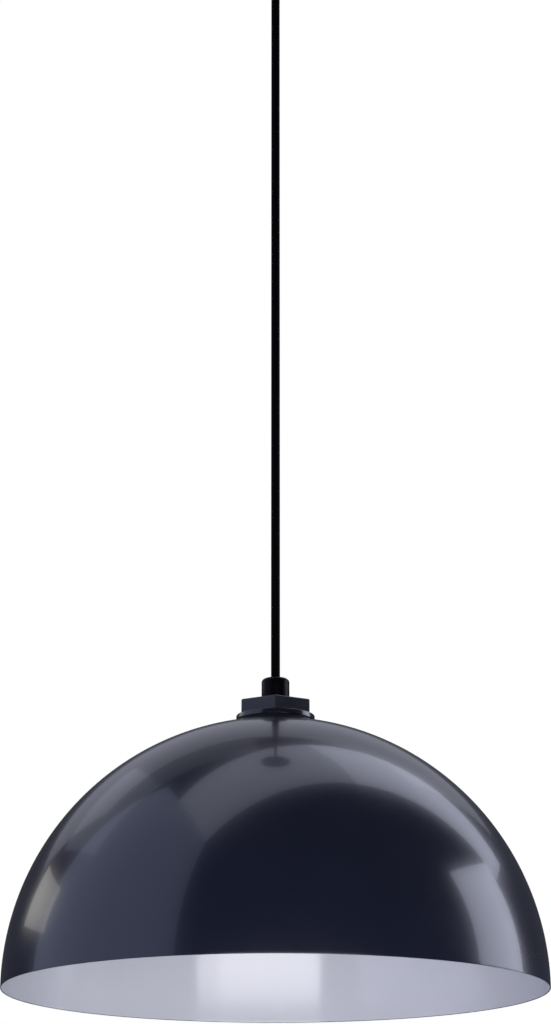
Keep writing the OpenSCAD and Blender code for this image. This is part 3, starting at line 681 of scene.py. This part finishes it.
def hexagon(apothem, rounding, inset, z, per_corner=8):
    """A hexagon's outline with rounded corners, moved inwards by inset, a corner towards -Y."""
    reach = (apothem - rounding) / cos(radians(30))
    points = []
    for k in range(6):
        middle = radians(60 * k + 30)
        for j in range(per_corner + 1):
            facing = radians(60 * k + 60 * j / per_corner)
            radius = max(rounding - inset, CLEAR)
            extra = min(rounding - inset, 0)
            points.append((
                (reach + extra) * cos(middle) + radius * cos(facing),
                (reach + extra) * sin(middle) + radius * sin(facing), z))
    return points


def circle_like(outline, r, z):
    """A circle with one point in the same direction as each point of an outline."""
    return [(r * x / hypot(x, y), r * y / hypot(x, y), z) for x, y, _ in outline]


TOP_EASE = 1.3 * MM
LOW_EASE = 0.4 * MM
quarter = [radians(15 * i) for i in range(7)]
levels = [(LOW_EASE * (1 - sin(a)), nut_low.z + LOW_EASE * (1 - cos(a))) for a in quarter]
levels += [(TOP_EASE * (1 - cos(a)), nut_high.z - TOP_EASE * (1 - sin(a))) for a in quarter]
nut_loops = [hexagon(NUT_APOTHEM, NUT_CORNER, inset, z) for inset, z in levels]
base_outline = hexagon(NUT_APOTHEM, NUT_CORNER, 0, 0)
GLAND_R = 8.0 * MM
NUT_FACE_R = 12 * MM
cover_low = nut_high.z - 3.4 * MM
BORE_EASE = 0.5 * MM
nut_loops += [circle_like(base_outline, r, z) for r, z in (
    (NUT_FACE_R, nut_high.z), (GLAND_R + CLEAR, nut_high.z), (GLAND_R + CLEAR, cover_low),
    (NECK_R + CLEAR, cover_low), (NECK_R + CLEAR, nut_low.z + BORE_EASE), (NECK_R + BORE_EASE, nut_low.z))]
# The nut takes the navy that is painted lighter, painted light on its shaded faces.
add_piece("nut_milled", skin(nut_loops), "lamp", nut_navy_painted_light, stands_for=("hex_nut",))

# %% [markdown]
# The gland's cap is a plain turned collar with a round shoulder, where the cord comes out. Under
# it is a threaded stub. A thread is a shape function: it turns with the lathe and cuts a groove
# wherever the profile lies at its crest, and leaves the rest of the profile alone.

# %% Gland cap and its threaded stub
cap_low, cap_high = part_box("gland_cap")
CAP_R = cap_high.x
SHOULDER = 3.0 * MM
CAP_EDGE = 0.3 * MM
MOUTH_EASE = 0.5 * MM
CORD_HOLE = CORD_R + 0.05 * MM
roof_low = cap_high.z - 3.5 * MM
# The cap takes the finish that is painted almost black, a painted dark reflection.
add_piece(
    "gland_cap_turned",
    lathe([(GLAND_R + CLEAR, cap_low.z)]
          + arc(CAP_R - CAP_EDGE, cap_low.z + CAP_EDGE, CAP_EDGE, -90, 0, 4)
          + arc(CAP_R - SHOULDER, cap_high.z - SHOULDER, SHOULDER, 0, 90, 16)
          + [(CORD_HOLE + MOUTH_EASE, cap_high.z), (CORD_HOLE, cap_high.z - MOUTH_EASE),
             (CORD_HOLE, roof_low), (GLAND_R + CLEAR, roof_low)], 144),
    "lamp", cap_painted_dark_reflection, stands_for=("gland_cap",))


ON_WALL = 0.01 * MM


def thread(pitch, depth, crest_r, flat=0.25):
    """A shape function that cuts a right-handed thread into whatever lies at the crest radius."""
    def cut(r, z, turn):
        if abs(r - crest_r) > ON_WALL:
            return r
        phase = (z / pitch - turn / (2 * pi)) % 1
        groove = max(0.0, min(1.0, (0.5 + flat / 2 - abs(2 * phase - 1)) / (1 - flat) + 0.25))
        return r - depth * groove
    return cut


stub_low, stub_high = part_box("gland_body")
SEAL_R = 5.4 * MM
STUB_BORE = CORD_R + 0.3 * MM
GLAND_PITCH = 1.5 * MM
seal_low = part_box("gland_seal")[0].z
add_piece(
    "gland_stub",
    lathe(along_z(GLAND_R - CLEAR, stub_low.z, stub_high.z, 0.2 * MM)
          + [(SEAL_R + CLEAR, stub_high.z), (SEAL_R + CLEAR, seal_low), (STUB_BORE, seal_low),
             (STUB_BORE, stub_low.z)], 96, thread(GLAND_PITCH, 0.7 * MM, GLAND_R - CLEAR)),
    "lamp", zinc_steel, stands_for=("gland_body",))

# %% [markdown]
# ## The neck under the crown
# The neck comes up through the shade from inside. Its flange presses the inner rubber ring against
# the white sheet, and its threaded tube takes the nut.

# %% The neck
neck_low, neck_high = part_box("threaded_neck")
flange_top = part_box("inner_gasket")[0].z
FLANGE_R = neck_high.x
NECK_BORE = NECK_R - 2.5 * MM
NIPPLE_R = 5.0 * MM
FLANGE_ROUND = 1.0 * MM
NECK_EASE = 0.3 * MM
THREAD_DEPTH = 0.6 * MM
floor_top = neck_low.z + 4 * MM
add_piece(
    "neck_threaded",
    lathe([(NIPPLE_R, neck_low.z)]
          + arc(FLANGE_R - FLANGE_ROUND, neck_low.z + FLANGE_ROUND, FLANGE_ROUND, -90, 0, 6)
          + arc(FLANGE_R - NECK_EASE, flange_top - NECK_EASE, NECK_EASE, 0, 90, 3)
          + [(NECK_R - THREAD_DEPTH, flange_top), (NECK_R - THREAD_DEPTH, flange_top + 1.2 * MM)]
          + along_z(NECK_R - CLEAR, flange_top + 1.4 * MM, neck_high.z - 0.6 * MM, 0.2 * MM)
          + [(NECK_R - 0.8 * MM, neck_high.z), (NECK_BORE + NECK_EASE, neck_high.z),
             (NECK_BORE, neck_high.z - NECK_EASE), (NECK_BORE, floor_top), (NIPPLE_R, floor_top)], 144,
          thread(GLAND_PITCH, THREAD_DEPTH, NECK_R - CLEAR)),
    "lamp", white_plastic, stands_for=("threaded_neck",))

# %% [markdown]
# The hollow nipple below the neck is a short threaded tube of zinc-plated steel. The lampholder's
# cap screws on to it, and the leads pass down through its bore.

# %% The nipple
nipple_low, nipple_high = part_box("holder_nipple")
NIPPLE_BORE = 3.8 * MM
NIPPLE_CREST = NIPPLE_R - CLEAR / 2
START = 0.5 * MM
add_piece(
    "nipple_threaded",
    lathe([(NIPPLE_R - START, nipple_low.z)]
          + along_z(NIPPLE_CREST, nipple_low.z + START, nipple_high.z - START, 0.15 * MM)
          + [(NIPPLE_R - START, nipple_high.z), (NIPPLE_BORE + BREAK, nipple_high.z),
             (NIPPLE_BORE, nipple_high.z - BREAK), (NIPPLE_BORE, nipple_low.z + BREAK),
             (NIPPLE_BORE + BREAK, nipple_low.z)], 72,
          thread(1.0 * MM, 0.4 * MM, NIPPLE_CREST)),
    "lamp", zinc_steel, stands_for=("holder_nipple",))

# %% [markdown]
# ## The lampholder
# The cap and the skirt are white mouldings that screw together. The skirt has upright flutes, so
# that it can be gripped, and a plain band above and below them.

# %% Cap and skirt
holder_cap_low, holder_cap_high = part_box("holder_cap")
skirt_low, skirt_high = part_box("holder_skirt")
HOLDER_R = holder_cap_high.x
SKIRT_R = skirt_high.x
HOLDER_WALL = 2.0 * MM
SOFT = 6.0 * MM
FLUTES = 36
joint_z = holder_cap_low.z


def flutes(count, depth, wall_r, start, end, fade):
    """A shape function that presses upright hollows into the wall at wall_r between two heights."""
    def press(r, z, turn):
        if abs(r - wall_r) > ON_WALL or not start <= z <= end:
            return r
        near_end = min(1.0, min(z - start, end - z) / fade)
        return r - depth * sqrt(max(near_end, 0)) * (0.5 - 0.5 * cos(count * turn)) ** 0.7
    return press


HOLDER_BORE = HOLDER_R - HOLDER_WALL
CAP_LIP = 0.4 * MM
add_piece(
    "holder_cap_moulded",
    lathe([(NIPPLE_R, holder_cap_high.z - HOLDER_WALL)]
          + arc(HOLDER_R - SOFT, holder_cap_high.z - SOFT, SOFT - HOLDER_WALL, 90, 0, 8)
          + [(HOLDER_BORE, joint_z + BREAK), (HOLDER_BORE + BREAK, joint_z)]
          + arc(HOLDER_R - CAP_LIP, joint_z + CAP_LIP, CAP_LIP, -90, 0, 4)
          + along_z(HOLDER_R, joint_z + 2 * MM, joint_z + 15 * MM, 1 * MM)
          + arc(HOLDER_R - SOFT, holder_cap_high.z - SOFT, SOFT, 0, 90, 12)
          + [(NIPPLE_R, holder_cap_high.z)], 216,
          flutes(FLUTES, 0.35 * MM, HOLDER_R, joint_z + 3 * MM, joint_z + 14 * MM, 2 * MM)),
    "lamp", white_plastic, stands_for=("holder_cap",))

shell_box_low, shell_box_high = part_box("screw_shell")
SHELL_LOW, SHELL_TOP = shell_box_low.z, shell_box_high.z
SKIRT_MOUTH_R = 15.0 * MM
SKIRT_CAVITY_R = SKIRT_MOUTH_R + 1.2 * MM
SKIRT_ROUND = 1.2 * MM
SKIRT_STEP_R = HOLDER_R - 2 * HOLDER_WALL
SKIRT_LIP = 0.3 * MM
add_piece(
    "holder_skirt_moulded",
    lathe([(SKIRT_MOUTH_R, SHELL_LOW), (SKIRT_MOUTH_R, skirt_low.z + 0.6 * MM),
           (SKIRT_MOUTH_R + 0.6 * MM, skirt_low.z)]
          + arc(SKIRT_R - SKIRT_ROUND, skirt_low.z + SKIRT_ROUND, SKIRT_ROUND, -90, 0, 6)
          + along_z(SKIRT_R, skirt_low.z + 3 * MM, joint_z - 3 * MM, 1 * MM)
          + [(SKIRT_R, joint_z - SKIRT_LIP), (SKIRT_R - SKIRT_LIP, joint_z), (HOLDER_BORE, joint_z),
             (HOLDER_BORE - CLEAR, skirt_high.z - CAP_LIP), (HOLDER_BORE - CAP_LIP, skirt_high.z),
             (SKIRT_STEP_R, skirt_high.z), (SKIRT_STEP_R, SHELL_TOP), (SKIRT_CAVITY_R, SHELL_TOP),
             (SKIRT_CAVITY_R, SHELL_LOW)], 216,
          flutes(FLUTES, 0.45 * MM, SKIRT_R, skirt_low.z + 5 * MM, joint_z - 5 * MM, 2 * MM)),
    "lamp", white_plastic, stands_for=("holder_skirt",))

# %% [markdown]
# The screw shell and the bulb's base have the same round thread in the same phase, 3.63 mm a turn.
# As the bulb unscrews it also drops by one pitch a turn, so the two threads stay in step.

# %% Screw shell and bulb base
E27_PITCH = 3.629 * MM
E27_DEPTH = 0.9 * MM


def wave(r, z, turn):
    """Radius of a round-topped thread below a crest radius."""
    return r - E27_DEPTH * (0.5 - 0.5 * cos(2 * pi * (z / E27_PITCH - turn / (2 * pi))))


def round_thread(*crests):
    """A shape function that rolls the lamp thread into the walls at the given crest radii."""
    def roll(r, z, turn):
        return wave(r, z, turn) if any(abs(r - crest) < 0.001 * MM for crest in crests) else r
    return roll


SHELL_OUT = shell_box_high.x
SHELL_WALL = 0.4 * MM
SHELL_IN = SHELL_OUT - SHELL_WALL
SHELL_MOUTH_R = SHELL_IN - 5 * MM
THREAD_STEP = 0.3 * MM
OFF_CREST = 0.002 * MM
add_piece(
    "shell_rolled",
    lathe([(SHELL_IN - OFF_CREST, SHELL_LOW)]
          + along_z(SHELL_OUT, SHELL_LOW + 0.2 * MM, SHELL_TOP - 1 * MM, THREAD_STEP)
          + [(SHELL_OUT - 0.6 * MM, SHELL_TOP), (SHELL_MOUTH_R, SHELL_TOP),
             (SHELL_MOUTH_R, SHELL_TOP - SHELL_WALL), (SHELL_OUT - 1.4 * MM, SHELL_TOP - SHELL_WALL)]
          + along_z(SHELL_IN, SHELL_TOP - 1.4 * MM, SHELL_LOW + 0.2 * MM, THREAD_STEP), 96,
          round_thread(SHELL_OUT, SHELL_IN)),
    "lamp", brass, stands_for=("screw_shell",))

base_low, base_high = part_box("bulb_base")
BASE_R = base_high.x
BASE_IN = BASE_R - SHELL_WALL
base_edge = base_low.z + 0.05 * MM
add_piece(
    "bulb_base_rolled",
    lathe([(BASE_IN - OFF_CREST, base_edge), (BASE_R - OFF_CREST, base_edge)]
          + along_z(BASE_R, base_low.z + 0.4 * MM, base_high.z - 1.5 * MM, THREAD_STEP)
          + [(BASE_R - 0.9 * MM, base_high.z - 0.5 * MM), (BASE_R - 1.4 * MM, base_high.z),
             (BASE_R - 1.8 * MM, base_high.z)]
          + along_z(BASE_IN, base_high.z - 1.9 * MM, base_low.z + 0.4 * MM, THREAD_STEP), 96,
          round_thread(BASE_R, BASE_IN)),
    "bulb", bulb_metal, stands_for=("bulb_base",))
tip_low, tip_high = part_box("bulb_tip_contact")
TIP_R = tip_high.x
bead_low = tip_low.z + 0.5 * MM
bead = [(TIP_R * cos(a), bead_low + (tip_high.z - bead_low) * sin(a))
        for a in (radians(10 * i) for i in range(9))]
add_piece(
    "tip_solder",
    lathe([(0, tip_low.z), (TIP_R - 0.4 * MM, tip_low.z), (TIP_R, tip_low.z + 0.4 * MM)]
          + bead + [(0, tip_high.z)], 48),
    "bulb_carrier", bulb_metal, stands_for=("bulb_tip_contact",))

# %% [markdown]
# ## The bulb
# An ordinary LED bulb: a white housing that widens from the screw base, and an opal globe sprung
# into it, with a fine groove where the two meet.

# %% Housing and globe
globe_low, globe_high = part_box("bulb_globe")
housing_low, housing_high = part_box("bulb_housing")
BULB_R = (globe_high.x - globe_low.x) / 2
globe_mid = globe_low.z + BULB_R
seam_z = housing_low.z
SEAM_R = sqrt(BULB_R ** 2 - (seam_z - globe_mid) ** 2)
GLASS = 1.0 * MM
seam_out = degrees(asin((globe_high.z - globe_mid) / BULB_R))
seam_in = degrees(asin((globe_high.z - 0.2 * MM - globe_mid) / (BULB_R - GLASS)))
add_piece(
    "globe_opal",
    lathe(arc(0, globe_mid, BULB_R, -90, seam_out - 0.6, 48)
          + [(SEAM_R - 0.25 * MM, globe_high.z - CLEAR), (SEAM_R - 0.9 * MM, globe_high.z - CLEAR)]
          + arc(0, globe_mid, BULB_R - GLASS, seam_in, -90, 48), 128),
    "bulb", opal, stands_for=("bulb_globe",))
COLLAR_R = BASE_R + 0.9 * MM
collar_z = skirt_low.z - 1.5 * MM
HOUSING_WALL = 1.2 * MM
HOUSING_IN = BASE_IN - HOUSING_WALL
RIM_IN = SEAM_R - HOUSING_WALL - 1 * MM
rim_top = seam_z + 2 * MM
RIM_EASE = 0.3 * MM
cone = [(SEAM_R + (COLLAR_R - SEAM_R) * i / 12, rim_top + (collar_z - rim_top) * i / 12) for i in range(13)]
add_piece(
    "housing_moulded",
    lathe([(BASE_IN - 0.6 * MM, housing_high.z), (HOUSING_IN - 0.9 * MM, housing_high.z),
           (HOUSING_IN, collar_z), (RIM_IN, rim_top), (RIM_IN, seam_z), (SEAM_R - RIM_EASE, seam_z),
           (SEAM_R, seam_z + RIM_EASE)]
          + cone
          + [(COLLAR_R, base_low.z - RIM_EASE), (COLLAR_R - RIM_EASE, base_low.z),
             (BASE_IN - 0.9 * MM, base_low.z)], 128),
    "bulb", bulb_white, stands_for=("bulb_housing",))

# %% [markdown]
# ## The ceiling canopy and the cord grip
# The canopy is a drawn cup with a rounded rim. Two screw holes are cut through its side with a
# boolean, which is then applied.

# %% Canopy
canopy_low, canopy_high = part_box("canopy")
CANOPY_R = canopy_high.x
CANOPY_WALL = 1.0 * MM
CANOPY_CORNER = 5.0 * MM
GRIP_THREAD_R = 8.0 * MM
THREAD_HOLE_R = GRIP_THREAD_R + 0.3 * MM
SCREW_HOLE_R = 2.3 * MM
screw_low, screw_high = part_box("side_screws")


def drill_along_x(piece, name, sides, radius, depth, x, z):
    """Cuts a round hole along X through a piece, and applies the cut."""
    bpy.ops.mesh.primitive_cylinder_add(
        vertices=sides, radius=radius, depth=depth, rotation=(0, pi / 2, 0), location=(x, 0, z))
    drill = bpy.context.object
    cut = piece.modifiers.new(name, "BOOLEAN")
    cut.operation = "DIFFERENCE"
    cut.solver = "EXACT"
    cut.object = drill
    drilled = bpy.data.meshes.new_from_object(piece.evaluated_get(bpy.context.evaluated_depsgraph_get()))
    piece.modifiers.clear()
    piece.data = drilled
    bpy.data.objects.remove(drill)
    print(piece.name, len(drilled.polygons), "faces after drilling")


corner_r, corner_z = CANOPY_R - CANOPY_CORNER, canopy_low.z + CANOPY_CORNER
canopy = add_piece(
    "canopy_drawn",
    lathe([(THREAD_HOLE_R, canopy_low.z + BREAK), (THREAD_HOLE_R + BREAK, canopy_low.z)]
          + arc(corner_r, corner_z, CANOPY_CORNER, -90, 0, 14)
          + arc(CANOPY_R - CANOPY_WALL / 2, canopy_high.z - CANOPY_WALL / 2, CANOPY_WALL / 2, 0, 180, 8)
          + arc(corner_r, corner_z, CANOPY_CORNER - CANOPY_WALL, 0, -90, 12)
          + [(THREAD_HOLE_R + BREAK, canopy_low.z + CANOPY_WALL),
             (THREAD_HOLE_R, canopy_low.z + CANOPY_WALL - BREAK)], 192),
    "canopy", navy_paint, stands_for=("canopy",))
drill_along_x(canopy, "side_holes", 48, SCREW_HOLE_R, 3 * CANOPY_R, 0, (screw_low.z + screw_high.z) / 2)

# %% [markdown]
# The grip is a turned collar with fine straight knurling for the fingers and a bell-mouth, so that
# the cord bends round a curve and not over an edge. Its thread goes up through the canopy.

# %% Cord grip
grip_low, grip_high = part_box("grip_body")
GRIP_R = grip_high.x
insert_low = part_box("grip_insert")[0].z
GRIP_MOUTH_R = CORD_R + 0.9 * MM
GRIP_MOUTH_TOP = grip_low.z + 6.5 * MM
BELL_R = 6.2 * MM
GRIP_CORE_R = 6.0 * MM
GRIP_ROUND = 1.5 * MM
KNURLS = 60
KNURL_DEPTH = 0.25 * MM
knurl_low, knurl_high = canopy_low.z - 7.0 * MM, canopy_low.z - 1.5 * MM
grip_thread = thread(1.0 * MM, 0.4 * MM, GRIP_THREAD_R - CLEAR)


def grip_shape(r, z, turn):
    """Shallow upright grooves round the top of the collar, and the thread above it."""
    if r < GRIP_R - ON_WALL or not knurl_low <= z <= knurl_high:
        return grip_thread(r, z, turn)
    return r - KNURL_DEPTH * (0.5 + 0.5 * cos(KNURLS * turn)) ** 2


bell = [
    (GRIP_MOUTH_R + (BELL_R - GRIP_MOUTH_R) * (1 - cos(pi / 2 * i / 12)),
     GRIP_MOUTH_TOP + (grip_low.z - GRIP_MOUTH_TOP) * sin(pi / 2 * i / 12))
    for i in range(13)
]
collar = lathe(
    bell
    + arc(GRIP_R - GRIP_ROUND, grip_low.z + GRIP_ROUND, GRIP_ROUND, -90, 0, 8)
    + along_z(GRIP_R, grip_low.z + 1.6 * MM, canopy_low.z - 0.3 * MM, 0.4 * MM)
    + [(GRIP_R - 0.3 * MM, canopy_low.z), (GRIP_THREAD_R - 0.4 * MM, canopy_low.z)]
    + along_z(GRIP_THREAD_R - CLEAR, canopy_low.z + CANOPY_WALL, grip_high.z - 0.4 * MM, 0.15 * MM)
    + [(GRIP_THREAD_R - 0.5 * MM, grip_high.z), (GRIP_CORE_R, grip_high.z), (GRIP_CORE_R, insert_low),
       (GRIP_MOUTH_R, insert_low)], 240, grip_shape)
grip = add_piece("grip_turned", collar, "canopy", navy_paint, stands_for=("grip_body",))
grub_low, grub_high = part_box("grip_grub_screw")
GRUB_R = (grub_high.y - grub_low.y) / 2
drill_along_x(grip, "grub_hole", 40, GRUB_R, GRIP_R, GRIP_R, (grub_low.z + grub_high.z) / 2)

# %% [markdown]
# ## The leads
# Each lead is a smooth round tube along a curve through a few points. The top leads cross from the
# canopy to the ceiling block, so they stretch between the two when the canopy is let down.

# %% Lead helper
def smooth_route(points, steps=6):
    """A smooth curve that passes through every point of a route."""
    points = [Vector(p) for p in points]
    last = len(points) - 1
    curve = []
    for i in range(last):
        before, here, there, after = points[max(i - 1, 0)], points[i], points[i + 1], points[min(i + 2, last)]
        for step in range(steps):
            t = step / steps
            curve.append(0.5 * (2 * here + (there - before) * t
                                + (2 * before - 5 * here + 4 * there - after) * t ** 2
                                + (3 * here - before - 3 * there + after) * t ** 3))
    return curve + [points[-1]]


def tube(points, radius, sides=16):
    """A closed tube along a route, cut off square at its two ends."""
    bm = bmesh.new()
    rings = []
    side = None
    last = len(points) - 1
    for k, here in enumerate(points):
        ahead = (points[min(k + 1, last)] - points[max(k - 1, 0)]).normalized()
        side = ahead.orthogonal() if side is None else side - ahead * side.dot(ahead)
        side.normalize()
        up = ahead.cross(side)
        ring = []
        for s in range(sides):
            turn = 2 * pi * s / sides
            ring.append(bm.verts.new(here + (side * cos(turn) + up * sin(turn)) * radius))
        rings.append(ring)
    for here, there in zip(rings, rings[1:]):
        for s in range(sides):
            t = (s + 1) % sides
            bm.faces.new((here[s], here[t], there[t], there[s]))
    bm.faces.new(reversed(rings[0]))
    bm.faces.new(rings[-1])
    return bm


# %% [markdown]
# The top leads leave the cord's end side by side, bow out to one side, and enter the terminals
# level. Part of that bow runs upright, where a stretch along it would keep them round.

# %% Top leads
LEAD_R = 1.1 * MM
LEAD_GAP = 0.2 * MM
insert_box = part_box("terminal_inserts")
INSERT_Z = (insert_box[0].z + insert_box[1].z) / 2
lead_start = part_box("cord_top_end")[1].z + LEAD_GAP
TOP_LEADS = (
    ("lead_live_top", lead_brown, 1, 10.0), ("lead_neutral_top", lead_blue, -1, -10.0),
    ("lead_earth_top", lead_green_yellow, 0, 0.0))
for node, colour, side, x in TOP_LEADS:
    y = 1.7 if side == 0 else -0.9
    middle = [(1.76 * side, y + 0.5, 3.0), (0.7 * x + 2 * side, 15.0, 4.0), (0.9 * x + side, 24.0, 1.0)]
    route = [(1.6 * side * MM, y * MM, lead_start), (1.6 * side * MM, y * MM, lead_start + 1.0 * MM)]
    route += [(px * MM, py * MM, lead_start + pz * MM) for px, py, pz in middle]
    route += [(x * MM, 26.0 * MM, INSERT_Z - 2.0 * MM), (x * MM, 17.0 * MM, INSERT_Z),
              (x * MM, 6.5 * MM, INSERT_Z)]
    lead = add_piece(node + "_sleeve", tube(smooth_route(route), LEAD_R), None, colour, stands_for=(node,))
    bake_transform(lead)

# %% [markdown]
# The low leads run down together through the nipple, then part to the holder's two contacts and
# its earth lug.

# %% Low leads
LOW_LEADS = (
    ("lead_live_low", lead_brown, 90), ("lead_neutral_low", lead_blue, -90),
    ("lead_earth_low", lead_green_yellow, 180))
for node, colour, angle in LOW_LEADS:
    end_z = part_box(node)[0].z + LEAD_R
    across = Vector((cos(radians(angle)), sin(radians(angle)), 0))
    end_r = 8.4 * MM if angle == 180 else 8.0 * MM
    steps = [(1.7 * MM, cord_low - LEAD_GAP), (1.9 * MM, nipple_high.z),
             (2.2 * MM, nipple_high.z - 2.0 * MM), (2.2 * MM, nipple_low.z),
             (3.3 * MM, nipple_low.z - 2.2 * MM), (end_r, end_z)]
    route = [across * r + Vector((0, 0, z)) for r, z in steps]
    add_piece(node + "_sleeve", tube(smooth_route(route), LEAD_R), "lamp", colour, stands_for=(node,))

# %% [markdown]
# ## Eased edges on the small fittings
# The small fittings keep their CAD shape. A narrow bevel rounds their sharp edges, because no
# moulded or stamped part has a perfectly sharp one.

# %% Bevel the small fittings
EASE_ABOVE = radians(40)
EASED = {
    "terminal_block": 0.5, "ceiling_bracket": 0.2, "cord_clamp": 0.3, "holder_core": 0.3, "earth_lug": 0.1,
    "holder_contacts": 0.08, "centre_contact": 0.08, "grip_locknut": 0.3, "nipple_locknut": 0.3,
    "side_nuts": 0.15, "side_screws": 0.12, "terminal_screws": 0.1, "block_screws": 0.1, "holder_screws": 0.1,
    "clamp_screws": 0.1, "earth_screw": 0.12, "terminal_inserts": 0.12, "bulb_driver": 0.15,
    "bulb_board": 0.1}
for node, width in EASED.items():
    ease = frame["nodes"][node].modifiers.new("ease", "BEVEL")
    ease.width = width * MM
    ease.segments = 2
    ease.limit_method = "ANGLE"
    ease.angle_limit = EASE_ABOVE
    ease.harden_normals = True
print(len(EASED), "fittings eased")

# %% [markdown]
# ## The stage
# A pale floor well below the light.

# %% Floor
FLOOR_DROP = 2.4
FLOOR_HALF = 6.0
PALE = (0.8, 0.8, 0.8, 1)
FLOOR_ROUGHNESS = 0.8
floor_mesh = bpy.data.meshes.new("floor")
floor_bm = bmesh.new()
bmesh.ops.create_grid(floor_bm, x_segments=1, y_segments=1, size=FLOOR_HALF)
floor_bm.to_mesh(floor_mesh)
floor_bm.free()
floor = place_object("floor", floor_mesh)
floor.location = (0, 0, RIM_Z - FLOOR_DROP)
floor_paint = bpy.data.materials.new("floor_paint")
floor_paint.use_nodes = True
floor_shader = floor_paint.node_tree.nodes["Principled BSDF"]
floor_shader.inputs["Base Color"].default_value = PALE
floor_shader.inputs["Roughness"].default_value = FLOOR_ROUGHNESS
floor_mesh.materials.append(floor_paint)
print(f"floor {FLOOR_DROP} m below the rim")
